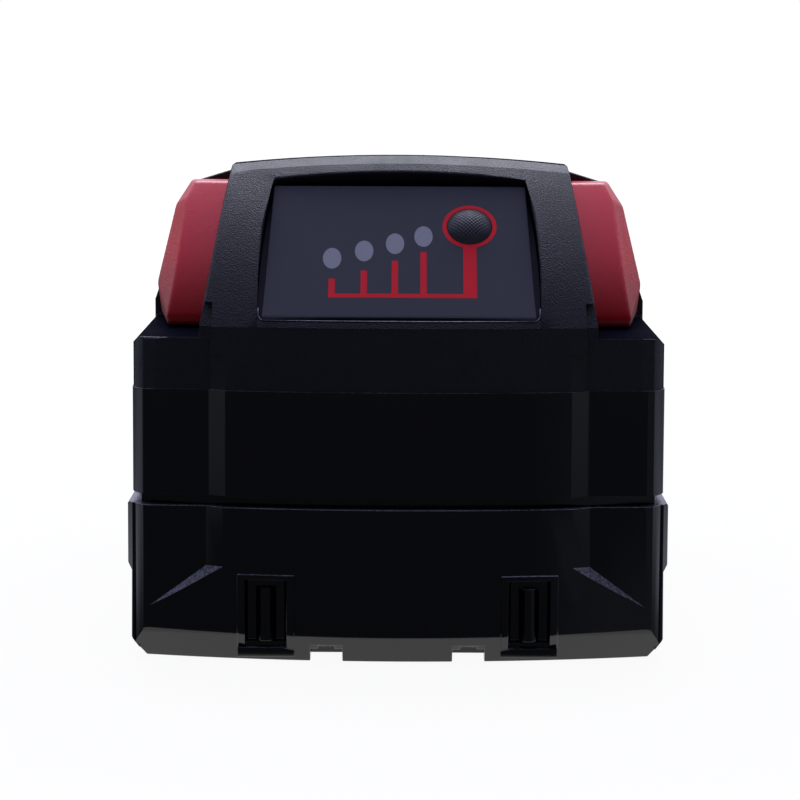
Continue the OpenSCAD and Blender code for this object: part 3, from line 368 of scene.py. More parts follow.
def polished_plastic(name, dark, pale, painted_top_highlight, polished, worn, peel, etch):
    tree, shader, where = start_material(name)
    touch = use_group(tree, handling_group, Vector=where, Polished=polished, Worn=worn)
    clouds = noise(tree, where, scale=45.0, detail=3.0)
    skin = noise(tree, where, scale=420.0, detail=1.0)
    grain = use_group(tree, grain_group, Vector=where, Scale=2600.0)
    # painted highlight: faces that look upwards take a pale bluish speckled colour, besides the etch's roughness
    # and bump
    upward = part_along(tree, coordinates(tree, "Normal"), "Z")
    mask = ramp(tree, upward, low=0.3, high=0.5)
    plain = blend_colours(tree, clouds, dark, pale)
    salt = ramp(tree, grain["Tone"], low=0.4, high=0.62)
    highlight_speckle = blend_colours(tree, salt, pale, painted_top_highlight)
    height = weighted(tree, skin, peel, calc(tree, "MULTIPLY", grain["Height"], mask), etch)
    feed(tree, shader, Base_Color=blend_colours(tree, mask, plain, highlight_speckle),
         Roughness=calc(tree, "ADD", touch["Roughness"], calc(tree, "MULTIPLY", mask, 0.25)),
         Normal=bump(tree, height, 1.0 * MM))


# The pale bluish colour for upward faces is a painted highlight of the overhead light.
polished_plastic("case_gloss", dark=(0.001, 0.0013, 0.0022), pale=(0.0018, 0.0022, 0.0034),
                 painted_top_highlight=(0.26, 0.268, 0.335), polished=0.1, worn=0.2, peel=0.004, etch=0.06)
# name, dark, pale, grains per metre, depth in mm, roughness polished and worn, shine
for row in (("case_texture", (0.0026, 0.003, 0.0075), (0.006, 0.0068, 0.015), 4600.0, 0.1, 0.42, 0.56),
            ("frame_plastic", (0.03, 0.03, 0.033), (0.06, 0.06, 0.065), 1800.0, 0.03, 0.45, 0.6),
            ("chip_black", (0.012, 0.012, 0.014), (0.03, 0.03, 0.034), 4200.0, 0.02, 0.4, 0.6),
            ("switch_plastic", (0.1, 0.1, 0.1), (0.2, 0.2, 0.2), 3000.0, 0.02, 0.35, 0.5),
            ("panel_grey", (0.043, 0.046, 0.063), (0.056, 0.059, 0.078), 5200.0, 0.012, 0.4, 0.5, 0.15)):
    grained_plastic(*row)
print("plastics:", list(finishes))

# %% [markdown]
# The latches are polished red at the front and pebbled on the outside, where a thumb presses. One
# material can hold both finishes: the object's own normal says which way a face looks, so a mask
# from its X part fades the grain in on the outer face alone. The red is also painted darker towards
# its foot: painted shade, standing for the shade that the hood casts on the latch's lower end.

# %% Latch red
def red_plastic(name, dark, pale, painted_shade_red, foot, head):
    tree, shader, where = start_material(name)
    # painted shade: the red darkens from the head down to the foot
    painted_foot_shade = ramp(tree, part_along(tree, where, "Z"), low=foot, high=head)
    aside = calc(tree, "ABSOLUTE", part_along(tree, coordinates(tree, "Normal"), "X"))
    mask = ramp(tree, aside, low=0.75, high=0.9)
    grain = use_group(tree, grain_group, Vector=where, Scale=2300.0)
    touch = use_group(tree, handling_group, Vector=where, Polished=0.2, Worn=0.32)
    rough = calc(tree, "ADD", touch["Roughness"], calc(tree, "MULTIPLY", mask, 0.2))
    body = blend_colours(tree, grain["Tone"], dark, pale)
    height = calc(tree, "MULTIPLY", grain["Height"], mask)
    feed(tree, shader, Base_Color=blend_colours(tree, painted_foot_shade, painted_shade_red, body), Roughness=rough,
         Normal=bump(tree, height, 0.16 * MM))


latch_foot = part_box("latch_left")[0].z
# The third red is painted shade at the latch's foot, fading out 11 mm above it.
red_plastic("latch_red", dark=(0.75, 0.0035, 0.013), pale=(0.88, 0.0066, 0.024), painted_shade_red=(0.3, 0.001, 0.004),
            foot=latch_foot, head=latch_foot + 11 * MM)
print("latch finish ready")

# %% [markdown]
# The gauge has small finishes of its own: frosted light guides, red ink on the panel and the black
# rubber of the button. Ink lies in a thin film, so its edge is a real step in the mesh and its
# material only carries a faint mottle. The lights, the cable, the sheets and the foam inside the case
# are speckled in the same way.

# %% Gauge finishes
def speckled(name, dark, pale, scale, rough_low, rough_high, depth, shine=0.5):
    tree, shader, where = start_material(name)
    fine = noise(tree, where, scale, detail=3.0)
    rough = ramp(tree, fine, low=0.0, high=1.0, start=rough_low, end=rough_high)
    feed(tree, shader, Base_Color=blend_colours(tree, fine, dark, pale), Roughness=rough,
         Normal=bump(tree, fine, depth * MM), Specular_IOR_Level=shine)


# name, dark, pale, specks per metre, roughness low and high, depth in mm, shine
for row in (("lens_grey", (0.23, 0.24, 0.28), (0.3, 0.31, 0.36), 2600.0, 0.3, 0.45, 0.01),
            ("gauge_ink", (0.78, 0.006, 0.02), (0.88, 0.01, 0.03), 3200.0, 0.4, 0.55, 0.006, 0.15),
            ("button_rubber", (0.022, 0.022, 0.031), (0.036, 0.036, 0.047), 1600.0, 0.32, 0.45, 0.008),
            ("led_white", (0.75, 0.7, 0.42), (0.85, 0.82, 0.62), 1500.0, 0.15, 0.3, 0.005),
            ("cable_white", (0.62, 0.62, 0.6), (0.74, 0.74, 0.71), 700.0, 0.35, 0.5, 0.01),
            ("insulator", (0.5, 0.46, 0.3), (0.66, 0.61, 0.43), 900.0, 0.6, 0.8, 0.03),
            ("foam_grey", (0.06, 0.06, 0.065), (0.13, 0.13, 0.14), 1200.0, 0.8, 0.95, 0.12)):
    speckled(*row)
print("gauge and sheet finishes ready")

# %% [markdown]
# Metal parts are rolled strip or plated wire. The tone of the drawing lines shifts the colour and the
# roughness together. The cells wear a blue-green sleeve that stops short of their bare steel ends,
# and the boards carry copper tracks under green lacquer.

# %% Metals, cells and boards
def drawn_metal(name, dark, pale):
    tree, shader, where = start_material(name)
    lines = use_group(tree, metal_group, Vector=where)
    feed(tree, shader, Base_Color=blend_colours(tree, lines["Tone"], dark, pale), Metallic=1.0,
         Roughness=lines["Roughness"])


def sleeved_cell(name, end_at):
    tree, shader, where = start_material(name)
    from_middle = calc(tree, "ABSOLUTE", part_along(tree, where, "X"))
    bare = calc(tree, "GREATER_THAN", from_middle, end_at)
    lines = use_group(tree, metal_group, Vector=where)
    clouds = noise(tree, where, scale=90.0, detail=3.0)
    sleeve = blend_colours(tree, clouds, (0.012, 0.16, 0.2), (0.02, 0.22, 0.27))
    steel_tone = blend_colours(tree, lines["Tone"], (0.42, 0.42, 0.41), (0.62, 0.61, 0.59))
    feed(tree, shader, Base_Color=blend_colours(tree, bare, sleeve, steel_tone), Metallic=bare,
         Roughness=lines["Roughness"], Normal=bump(tree, clouds, 0.02 * MM))


def lacquered_board(name):
    tree, shader, where = start_material(name)
    shades = {"Color1": rgb(0, 0, 0), "Color2": rgb(0.25, 0.25, 0.25), "Mortar": rgb(1, 1, 1)}
    tracks = place(tree, "TexBrick", {"Vector": where, "Scale": 160.0, "Mortar Size": 0.12,
                                      "Mortar Smooth": 0.2, **shades}, offset=0.37, squash=1.8)
    dots = place(tree, "TexVoronoi", {"Vector": where, "Scale": 330.0})
    pad = calc(tree, "LESS_THAN", dots.outputs["Distance"], 0.16)
    green = blend_colours(tree, tracks.outputs["Color"], (0.008, 0.07, 0.028), (0.02, 0.15, 0.06))
    touch = use_group(tree, handling_group, Vector=where, Polished=0.2, Worn=0.38)
    feed(tree, shader, Base_Color=blend_colours(tree, pad, green, (0.6, 0.58, 0.52)), Metallic=pad,
         Roughness=touch["Roughness"], Normal=bump(tree, tracks.outputs["Fac"], 0.03 * MM))


drawn_metal("steel", (0.42, 0.42, 0.44), (0.66, 0.66, 0.68))
drawn_metal("nickel", (0.52, 0.5, 0.46), (0.74, 0.72, 0.67))
drawn_metal("contact_copper", (0.52, 0.27, 0.13), (0.78, 0.46, 0.26))
sleeved_cell("cell_wrap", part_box("cell_1")[1].x - 0.6 * MM)
lacquered_board("board_green")
print("finishes in all:", len(finishes))

# %% [markdown]
# Each CAD node has a slot in the record, and a slot has one finish of the same name. The table of
# finishes dresses every node in one pass. Pieces that replace a node take the same slot later on.

# %% Dress the CAD nodes
slot_of = {row["node"]: row["material_slot"] for row in frame["record"]["subparts"]}
body_of = {node: body for body, nodes in frame["record"]["behaviour"]["bodies"].items() for node in nodes}
for node, made in frame["nodes"].items():
    made.data.materials.clear()
    made.data.materials.append(finishes[slot_of[node]])
print("dressed", len(slot_of), "nodes from", len(set(slot_of.values())), "slots")

# %% [markdown]
# No moulded edge is sharp: the cutter leaves a radius in the mould, and the polish rounds it more. A
# mould maker chooses that radius edge by edge. Outer edges that a hand meets are generous, while the
# edges of a parting line stay crisp so that two mouldings meet in a thin dark seam. A moulding is a
# copy of its solid. Doubled points are merged and flat faces joined first, so that a bevel runs along
# whole edges, and each sharp edge then gets a bevel weight from a short list of zones. Gentle creases
# stay as plain creases in the shading, and the small steps of a curved wall are smoothed away.

# %% Edges of a moulding
MERGE_WITHIN, FLAT_WITHIN = 2e-6, math.radians(0.6)
CREASE_FROM, BEVEL_FROM = 9.5, 28.0
SAMPLE_EVERY, FOLD_REACH = 0.4 * MM, 0.8 * MM
SAME_WAY = 0.96


def merged_points(node):
    bm = bmesh.new()
    bm.from_mesh(frame["nodes"][node].data)
    bmesh.ops.remove_doubles(bm, verts=bm.verts, dist=MERGE_WITHIN)
    return bm


def merged_solid(node):
    bm = merged_points(node)
    bmesh.ops.dissolve_limit(bm, angle_limit=FLAT_WITHIN, verts=bm.verts, edges=bm.edges)
    return bm


def zone_width(a, b, zones, usual):
    middle, way = (a + b) / 2, (b - a).normalized()
    spot = (abs(middle.x) / MM, middle.y / MM, middle.z / MM)
    for low, high, width, *along in zones:
        inside = all(p <= v <= q for p, v, q in zip(low, spot, high))
        if inside and all(abs(way.dot(d)) > SAME_WAY for d in along):
            return width * MM
    return usual * MM


def points_tree(points):
    tree = KDTree(len(points))
    for k, spot in enumerate(points):
        tree.insert(spot, k)
    tree.balance()
    return tree


def weigh_edges(bm, zones, usual, widest, folds):
    weights = bm.edges.layers.float.new("bevel_weight_edge")
    samples = []
    for edge in bm.edges:
        turn = math.degrees(edge.calc_face_angle()) if len(edge.link_faces) == 2 else 0.0
        edge.smooth = not CREASE_FROM < turn <= BEVEL_FROM
        if turn > BEVEL_FROM:
            a, b = edge.verts[0].co, edge.verts[1].co
            steps = max(2, int((b - a).length / SAMPLE_EVERY))
            line = [a.lerp(b, k / steps) for k in range(steps + 1)]
            cramped = sum(any(tree.find(p)[2] < FOLD_REACH for p in line) for tree in folds)
            width = zone_width(a, b, zones, usual) * 0.5 ** cramped
            edge[weights] = width / widest
            samples += [(p, width) for p in line]
    return samples


# %% [markdown]
# The Bevel modifier reads those weights. Where many edges meet in a small space, a bevel can throw a
# corner outwards. A search tree of the solid tells how far each new point lies from it, and one that
# strays further than a true round would is put back. A bevel can also fold over itself: a triangle
# then looks the other way than the solid beside it. The edges close to a fold get half the width and
# the bevel is made again, a few times over. A crease has to run on over the rounded edge at its end,
# or the shading would flow round that end. The Weighted Normal modifier then lets the large faces
# decide the shading, so that flat walls stay flat beside their rounded edges.

# %% Bevels that keep to the solid
STRAY_SHARE, STRAY_SLACK = 0.45, 0.004 * MM
FOLD_AREA, FOLD_NEAR, FOLD_TURN = 0.01 * MM ** 2, 0.3 * MM, -0.5


def as_piece(bm, name, finish, smooth=True):
    mesh = bpy.data.meshes.new(name)
    bm.to_mesh(mesh)
    bm.free()
    for face in mesh.polygons:
        face.use_smooth = smooth
    mesh.materials.append(finishes[finish])
    made = bpy.data.objects.new(name, mesh)
    scene.collection.objects.link(made)
    return made


def plain_mesh(made):
    graph = bpy.context.evaluated_depsgraph_get()
    return bpy.data.meshes.new_from_object(made.evaluated_get(graph), depsgraph=graph)


def settle(made):
    mesh = plain_mesh(made)
    made.modifiers.clear()
    made.data = mesh
    return made


def put_strays_back(made, solid, samples):
    tree = points_tree([spot for spot, _ in samples])
    for vert in made.data.vertices:
        near, _, _, away = solid.find_nearest(vert.co)
        if away > STRAY_SHARE * samples[tree.find(vert.co)[1]][1] + STRAY_SLACK:
            vert.co = near


def folded_spots(made, solid):
    made.data.calc_loop_triangles()
    spots = []
    for tri in made.data.loop_triangles:
        middle = sum((made.data.vertices[k].co for k in tri.vertices), Vector()) / 3
        _, normal, _, away = solid.find_nearest(middle)
        if tri.area > FOLD_AREA and away < FOLD_NEAR and tri.normal.dot(normal) < FOLD_TURN:
            spots.append(middle)
    return spots


def stand_for(made, node):
    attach(made, body_of[node])
    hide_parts(node)
    return made


def carry_creases_on(made, steps):
    bm = bmesh.new()
    bm.from_mesh(made.data)
    for edge in [e for e in bm.edges if not e.smooth]:
        for at in edge.verts:
            here = edge
            for _ in range(steps):
                ahead = [e for e in at.link_edges if not set(e.link_faces) & set(here.link_faces)]
                if len(ahead) != 1 or not ahead[0].smooth:
                    break
                here = ahead[0]
                here.smooth = False
                at = here.other_vert(at)
    carried = sum(not e.smooth for e in bm.edges)
    bm.to_mesh(made.data)
    bm.free()
    return carried


def bevelled(node, name, usual, zones, steps, folds):
    bm = merged_solid(node)
    solid = BVHTree.FromBMesh(bm)
    widest = max([usual] + [zone[2] for zone in zones]) * MM
    samples = weigh_edges(bm, zones, usual, widest, folds)
    made = as_piece(bm, name, slot_of[node])
    bevel = made.modifiers.new("soft_edges", "BEVEL")
    bevel.limit_method, bevel.width, bevel.segments = "WEIGHT", widest, steps
    bevel.use_clamp_overlap, bevel.loop_slide, bevel.miter_outer = False, False, "MITER_SHARP"
    settle(made)
    put_strays_back(made, solid, samples)
    return made, folded_spots(made, solid)


def mould(node, name, usual, zones, steps=3, rounds=5):
    folds = []
    made, spots = bevelled(node, name, usual, zones, steps, folds)
    while spots and len(folds) < rounds:
        bpy.data.objects.remove(made)
        folds.append(points_tree(spots))
        made, spots = bevelled(node, name, usual, zones, steps, folds)
    creases = carry_creases_on(made, steps)
    weight = made.modifiers.new("even_shading", "WEIGHTED_NORMAL")
    weight.weight, weight.keep_sharp = 100, True
    settle(made)
    faces = len(made.data.polygons)
    print(name, "rounds", len(folds), "folds", len(spots), "creases", creases, "faces", faces)
    return stand_for(made, node)


# %% [markdown]
# The latch pads are the roundest pieces, because thumbs press them, and their bowed fronts would break
# a wide bevel into slivers. They are made another way. The Remesh modifier turns the solid into small
# even cells, and the Smooth modifier rubs the cells down like fine paper, which rounds every edge by
# about half a millimetre and leaves the broad faces as they are.

# %% Latch pads
def rub_down(node, name, cell, passes):
    made = as_piece(merged_solid(node), name, slot_of[node])
    remesh = made.modifiers.new("even_cells", "REMESH")
    remesh.mode, remesh.voxel_size, remesh.use_smooth_shade = "VOXEL", cell, True
    smooth = made.modifiers.new("rubbed_down", "SMOOTH")
    smooth.factor, smooth.iterations = 0.5, passes
    settle(made)
    made.data.materials.clear()
    made.data.materials.append(finishes[slot_of[node]])
    print(name, "faces", len(made.data.polygons))
    stand_for(made, node)


for side in ("left", "right"):
    rub_down("latch_" + side, "latch_pad_" + side, cell=0.24 * MM, passes=18)

# %% [markdown]
# The slope of the gauge sets the direction of the window's corner edges, so it is taken from the
# button's joint first. A zone is a box in millimetres with X taken without its sign, because the pack
# is the same on both sides. The first zone that holds the middle of an edge gives its width, and a
# zone may also ask that the edge runs along a given direction.

# %% The other mouldings
press = next(j for j in frame["joints"] if j["name"] == "gauge_button_press")
out_of_face = -Vector(press["axis"]).normalized()
up_slope = Vector((0, -out_of_face.z, out_of_face.y)) * -1
across = Vector((1, 0, 0))
far = 200
# low corner, high corner, width, direction
hood_zones = [((0, -far, 40.6), (far, far, 41.0), 0.05),
              ((0, -66, 44.0), (22.0, -34, 60.0), 0.9, out_of_face),
              ((0, -66, 60.0), (22.0, -34, 76.0), 0.45, out_of_face),
              ((24.5, -66, 41.0), (28.6, -58, 54.4), 0.05),
              ((28.6, -66, 46.0), (31.5, -56, 54.4), 0.25),
              ((0, -66, 49.8), (21.6, -59, 51.9), 0.16),
              ((24.0, -66, 54.0), (32.0, -24, 72.6), 0.5),
              ((24.0, -66, 72.6), (32.0, -24, 76.0), 0.25),
              ((0, -66, 50.0), (22.0, -38, 73.6), 0.5),
              ((0, -66, 48.0), (41.0, 66, 48.8), 0.4)]
sleeve_zones = [((0, -far, 40.5), (far, far, 41.0), 0.05), ((0, -far, 23.0), (far, far, 26.0), 0.06)]
tray_zones = [((0, -far, 23.0), (far, far, 23.6), 0.16), ((24.0, -66, 5.0), (38.5, -54, 23.6), 0.05),
              ((0, -66, 4.3), (38.0, -54, 4.8), 0.6, across)]
panel_zones = [((0, -66, 44.0), (22.0, -34, 76.0), 0.8, out_of_face)]
mould("upper_housing", "hood_and_rails", 0.2, hood_zones)
mould("middle_housing", "sleeve", 0.15, sleeve_zones)
mould("lower_tray", "tray", 0.2, tray_zones)
gauge_plate = mould("gauge_panel", "gauge_plate", 0.14, panel_zones)
light_guides = mould("gauge_lenses", "light_guides", 0.1, [])

# %% [markdown]
# The gauge lies on a slope, so its marks are easier to place in the slope's own frame: X across, U up
# the slope and N out of it, the way that the button slides. The panel's own points give the plane.
# The panel's lower edge is drawn up by half a millimetre, which leaves room for the sill of the window.

# %% The slope's frame
SILL_ROOM, ROOM_FADE = 0.5 * MM, 4 * MM
FACE_WITHIN, DRAWN_WITHIN = 0.02 * MM, 1.0 * MM


def on_slope(x, u, n):
    return across * x + up_slope * u + out_of_face * n


def slope_spot(point):
    return point.dot(across), point.dot(up_slope), point.dot(out_of_face)


def slope_box(points):
    rows = [slope_spot(p) for p in points]
    low, high = [Vector([pick(r[k] for r in rows) for k in range(3)]) for pick in (min, max)]
    return low, high


def node_points(node):
    return [v.co for v in frame["nodes"][node].data.vertices]


def draw_up(u):
    return u + SILL_ROOM * max(0.0, 1.0 - (u - face_foot) / ROOM_FADE)


face_level = slope_box(node_points("gauge_panel"))[1].z
panel_spots = [slope_spot(p) for p in node_points("gauge_panel")]
face_spots = [(x, u) for x, u, n in panel_spots if face_level - n < FACE_WITHIN]
face_foot = min(u for _, u in face_spots)
for vert in gauge_plate.data.vertices:
    _, u, n = slope_spot(vert.co)
    if face_level - n < DRAWN_WITHIN:
        vert.co += up_slope * (draw_up(u) - u)
button_low, button_high = slope_box(node_points("gauge_button"))
button_mid = (button_low + button_high) / 2
print("slope up", [round(v, 3) for v in up_slope], "panel at N", round(face_level / MM, 2), "mm")

# %% [markdown]
# A printed foil covers the panel, as on most gauges: a grey film with four frosted windows over the
# light guides and a hole for the button. All its marks are flat outlines on the slope, each raised by
# a few hundredths of a millimetre, so that ink and windows have real edges and lie on the panel from
# any side. The guides end just under the foil.

# %% Outlines on the slope
def lens_centres():
    bm = merged_points("gauge_lenses")
    left, centres = set(bm.verts), []
    while left:
        heap, found = [left.pop()], []
        while heap:
            vert = heap.pop()
            found.append(vert.co.copy())
            for edge in vert.link_edges:
                other = edge.other_vert(vert)
                if other in left:
                    left.remove(other)
                    heap.append(other)
        low, high = slope_box(found)
        centres.append((low + high) / 2)
    bm.free()
    return sorted(centres, key=lambda c: c.x)


def raise_outline(bm, outer, holes, level, film):
    loops = [[bm.verts.new(on_slope(x, u, level)) for x, u in loop] for loop in [outer] + holes]
    edges = [bm.edges.new(pair) for loop in loops for pair in zip(loop, loop[1:] + loop[:1])]
    filled = bmesh.ops.triangle_fill(bm, edges=edges, use_beauty=True, use_dissolve=False)
    faces = [g for g in filled["geom"] if isinstance(g, bmesh.types.BMFace)]
    lifted = bmesh.ops.extrude_face_region(bm, geom=faces)
    for vert in (g for g in lifted["geom"] if isinstance(g, bmesh.types.BMVert)):
        vert.co += out_of_face * film


def oval_points(x, u, half_x, half_u, count):
    turns = [2 * math.pi * k / count for k in range(count)]
    return [(x + half_x * math.cos(a), u + half_u * math.sin(a)) for a in turns]


def button_circle(radius):
    return oval_points(button_mid.x, button_mid.y, radius, radius, 96)


def trim_piece(bm, name, finish, smooth):
    made = as_piece(bm, name, finish, smooth)
    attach(made, "pack")
    return made


def slope_piece(bm, name, finish):
    bmesh.ops.recalc_face_normals(bm, faces=bm.faces)
    return trim_piece(bm, name, finish, smooth=False)


FOIL, INK, RING_IN = 0.02 * MM, 0.02 * MM, 3.42 * MM
lenses = lens_centres()
print("light guides at", [(round(c.x / MM, 2), round(c.y / MM, 2)) for c in lenses])

# %% Foil and its windows
def gauge_foil(inset, sunk):
    shifts = [(inset, inset), (-inset, inset), (-inset, -inset), (inset, -inset)]
    corners = [min(face_spots, key=lambda q: q[0] + q[1]), max(face_spots, key=lambda q: q[0] - q[1]),
               max(face_spots, key=lambda q: q[0] + q[1]), min(face_spots, key=lambda q: q[0] - q[1])]
    outline = [(x + dx, draw_up(u) + du) for (x, u), (dx, du) in zip(corners, shifts)]
    bm = bmesh.new()
    raise_outline(bm, outline, [button_circle(RING_IN)], face_level - sunk, FOIL + sunk)
    return slope_piece(bm, "gauge_foil", "panel_grey")


def foil_windows(half_x, half_u):
    bm = bmesh.new()
    for centre in lenses:
        oval = oval_points(centre.x, centre.y, half_x, half_u, 48)
        raise_outline(bm, oval, [], face_level + FOIL / 2, FOIL)
    return slope_piece(bm, "foil_windows", "lens_grey")


def sink_guides(made, depth):
    for vert in made.data.vertices:
        over = vert.co.dot(out_of_face) - face_level + depth
        if over > 0:
            vert.co -= out_of_face * over


sink_guides(light_guides, 0.03 * MM)
foil = gauge_foil(inset=0.3 * MM, sunk=0.01 * MM)
windows = foil_windows(1.37 * MM, 1.95 * MM)
print("foil faces", len(foil.data.polygons), "window faces", len(windows.data.polygons))

# %% [markdown]
# Under the window the hood keeps a narrow sill. The hood is bowed and the window is not, so the sill
# follows the bow: one profile is carried from end to end along the arc of the case's front, and each
# station is joined to the next. A polished bead runs along its upper edge and a little way up both
# sides. A curve with a round bevel is the shortest way to such a bead, and its points can grow thin.

# %% Window sill
SILL_LEAN, FRONT_BOW = math.radians(23), 150 * MM
SILL_HEIGHT, SILL_PROUD, SILL_ROUND, SILL_DEEP = 0.95 * MM, 0.03 * MM, 0.22 * MM, 0.7 * MM
SILL_CREASE, ARC_STEP = math.radians(35), math.radians(22)


def sill_profile(rise):
    out = Vector((-math.cos(SILL_LEAN), math.sin(SILL_LEAN)))
    up = Vector((math.sin(SILL_LEAN), math.cos(SILL_LEAN)))
    start = out * SILL_PROUD
    centre = start + up * (rise / math.cos(SILL_LEAN)) - out * SILL_ROUND
    turns = [math.pi - SILL_LEAN - k * ARC_STEP for k in range(6)]
    arc = [centre + SILL_ROUND * Vector((math.cos(a), math.sin(a))) for a in turns]
    return [start] + arc + [Vector((SILL_DEEP, rise / 2)), Vector((SILL_DEEP, 0.0))]


def bowed_back(x):
    return FRONT_BOW - math.sqrt(FRONT_BOW * FRONT_BOW - x * x)


def join_rows(bm, rows):
    for one, two in zip(rows, rows[1:]):
        for k in range(len(one)):
            after = (k + 1) % len(one)
            bm.faces.new(list(dict.fromkeys((one[k], one[after], two[after], two[k]))))


def window_sill(brow, half, stations):
    bm = bmesh.new()
    profile = sill_profile(SILL_HEIGHT)
    rings = []
    for k in range(stations + 1):
        x = half * (2 * k / stations - 1)
        rings.append([bm.verts.new((x, brow.y + bowed_back(x) + q.x, brow.z + q.y)) for q in profile])
    join_rows(bm, rings)
    bm.faces.new(rings[0])
    bm.faces.new(rings[-1])
    bmesh.ops.recalc_face_normals(bm, faces=bm.faces)
    for edge in bm.edges:
        edge.smooth = edge.calc_face_angle() < SILL_CREASE
    return trim_piece(bm, "window_sill", "case_texture", smooth=True)


def bead_path(half, rise, corner):
    ends = [(half, rise + 1.9 * MM, 0.2), (half, rise + 1.3 * MM, 0.8)]
    turns = [math.radians(15 * k) for k in range(7)]
    bend = [(half - corner + corner * math.cos(a), rise + corner - corner * math.sin(a), 1.0) for a in turns]
    straight = [((half - corner) * (1 - k / 12), rise, 1.0) for k in range(1, 12)]
    right = ends + bend + straight + [(0.0, rise, 1.0)]
    return right + [(-x, z, size) for x, z, size in reversed(right[:-1])]


def window_bead(brow, path, wire, sunk):
    data = bpy.data.curves.new("window_bead", "CURVE")
    data.dimensions, data.bevel_depth, data.bevel_resolution, data.use_fill_caps = "3D", wire, 3, True
    spline = data.splines.new("POLY")
    spline.points.add(len(path) - 1)
    for point, (x, z, size) in zip(spline.points, path):
        point.co = (x, brow.y + bowed_back(x) + z * math.tan(SILL_LEAN) + sunk, brow.z + z, 1.0)
        point.radius = size
    drawn = bpy.data.objects.new("bead_path", data)
    scene.collection.objects.link(drawn)
    bm = bmesh.new()
    bm.from_mesh(plain_mesh(drawn))
    bpy.data.objects.remove(drawn)
    bmesh.ops.remove_doubles(bm, verts=bm.verts, dist=1e-6)
    bmesh.ops.recalc_face_normals(bm, faces=bm.faces)
    return trim_piece(bm, "window_bead", "case_gloss", smooth=True)


brow_middle = Vector((0, -62.9, 50.2)) * MM
sill = window_sill(brow_middle, 20.8 * MM, 40)
bead = window_bead(brow_middle, bead_path(20.75 * MM, 1.0 * MM, 0.8 * MM), wire=0.17 * MM, sunk=0.06 * MM)
print("window sill faces", len(sill.data.polygons), "bead faces", len(bead.data.polygons))

# %% [markdown]
# The red scale is screen-printed ink: four bars that grow to the right, a line under them and a broad
# stem that ends in a ring round the button.

# %% Printed scale
def printed_scale():
    bar, line, stem, ring_out, overlap = 0.95 * MM, 0.75 * MM, 2.0 * MM, 4.05 * MM, 0.2 * MM
    foot, drops = button_mid.y - 13.45 * MM, [3.85 * MM, 3.7 * MM, 3.25 * MM, 2.95 * MM]
    right, head = button_mid.x + stem / 2, button_mid.y - ring_out + overlap
    outline = [(right, foot), (right, head), (right - stem, head), (right - stem, foot + line)]
    for centre, drop in reversed(list(zip(lenses, drops))):
        outline += [(centre.x + bar / 2, foot + line), (centre.x + bar / 2, centre.y - drop)]
        outline += [(centre.x - bar / 2, centre.y - drop), (centre.x - bar / 2, foot + line)]
    outline[-1] = (outline[-1][0], foot)
    bm = bmesh.new()
    level = face_level + FOIL / 2
    raise_outline(bm, outline, [], level, FOIL / 2 + INK)
    raise_outline(bm, button_circle(ring_out), [button_circle(RING_IN)], level, FOIL / 2 + INK * 1.2)
    return slope_piece(bm, "gauge_print", "gauge_ink")


scale = printed_scale()
print("printed scale faces", len(scale.data.polygons))

# %% [markdown]
# The button is a rubber dome with a fine cross-hatch that gives the thumb a grip. Its outline is a
# turned profile, and on the dome the points also follow two crossing rows of ridges, which fade out
# towards the rim. Making the hatch in the mesh keeps its glints when the view changes.

# %% Rubber button
LIP, LIP_HEIGHT = 0.8 * MM, 0.6 * MM
HATCH_PITCH, HATCH_DEPTH, DIAGONAL = 0.42 * MM, 0.11 * MM, 0.7071


def button_profile(rim, shoulder, dome, rings):
    ball = (rim * rim + dome * dome) / (2 * dome)
    steps = [rim * k / rings for k in range(1, rings + 1)]
    skin = [(r, dome - ball + math.sqrt(ball * ball - r * r)) for r in steps]
    return skin + [(rim, -shoulder), (rim + LIP, -shoulder), (rim + LIP, -shoulder - LIP_HEIGHT)]


def ridge(t):
    return abs((t / HATCH_PITCH) % 1.0 - 0.5) * 2


def hatch(x, u):
    return HATCH_DEPTH * (ridge((x + u) * DIAGONAL) + ridge((x - u) * DIAGONAL)) / 2


def rubber_button(segments, rings):
    rim = (button_high.x - button_low.x) / 2 - LIP
    dome = button_high.z - face_level
    shoulder = face_level - button_low.z - LIP_HEIGHT
    bm = bmesh.new()
    rows = []
    for r, n in button_profile(rim, shoulder, dome, rings):
        fade = min(1.0, max(0.0, (rim * 0.93 - r) / (0.25 * rim))) if n > 0 else 0.0
        row = []
        for x, u in oval_points(0.0, 0.0, r, r, segments):
            level = face_level + n - hatch(x, u) * fade
            row.append(bm.verts.new(on_slope(button_mid.x + x, button_mid.y + u, level)))
        rows.append(row)
    top = bm.verts.new(on_slope(button_mid.x, button_mid.y, face_level + dome - 0.05 * MM))
    join_rows(bm, [[top] * segments] + rows)
    bm.faces.new(list(reversed(rows[-1])))
    bmesh.ops.recalc_face_normals(bm, faces=bm.faces)
    return stand_for(as_piece(bm, "rubber_dome", "button_rubber"), "gauge_button")


dome_piece = rubber_button(216, 56)
print("rubber dome faces", len(dome_piece.data.polygons))

# %% [markdown]
# The latch springs are wire wound on a rod, so the path is a rule: a helix whose first and last turns
# lie closed. Geometry Nodes sweep a small circle along that path. The result is turned into a plain
# mesh and rides on the pack.

# %% Latch springs by Geometry Nodes
def shape(tree, kind, **inputs):
    return place(tree, "GeometryNode" + kind, named(inputs)).outputs


def dress_real(tree, geometry, material, result):
    real = shape(tree, "RealizeInstances", Geometry=geometry)[0]
    tree.links.new(shape(tree, "SetMaterial", Geometry=real, Material=material)[0], result["Geometry"])
    return tree


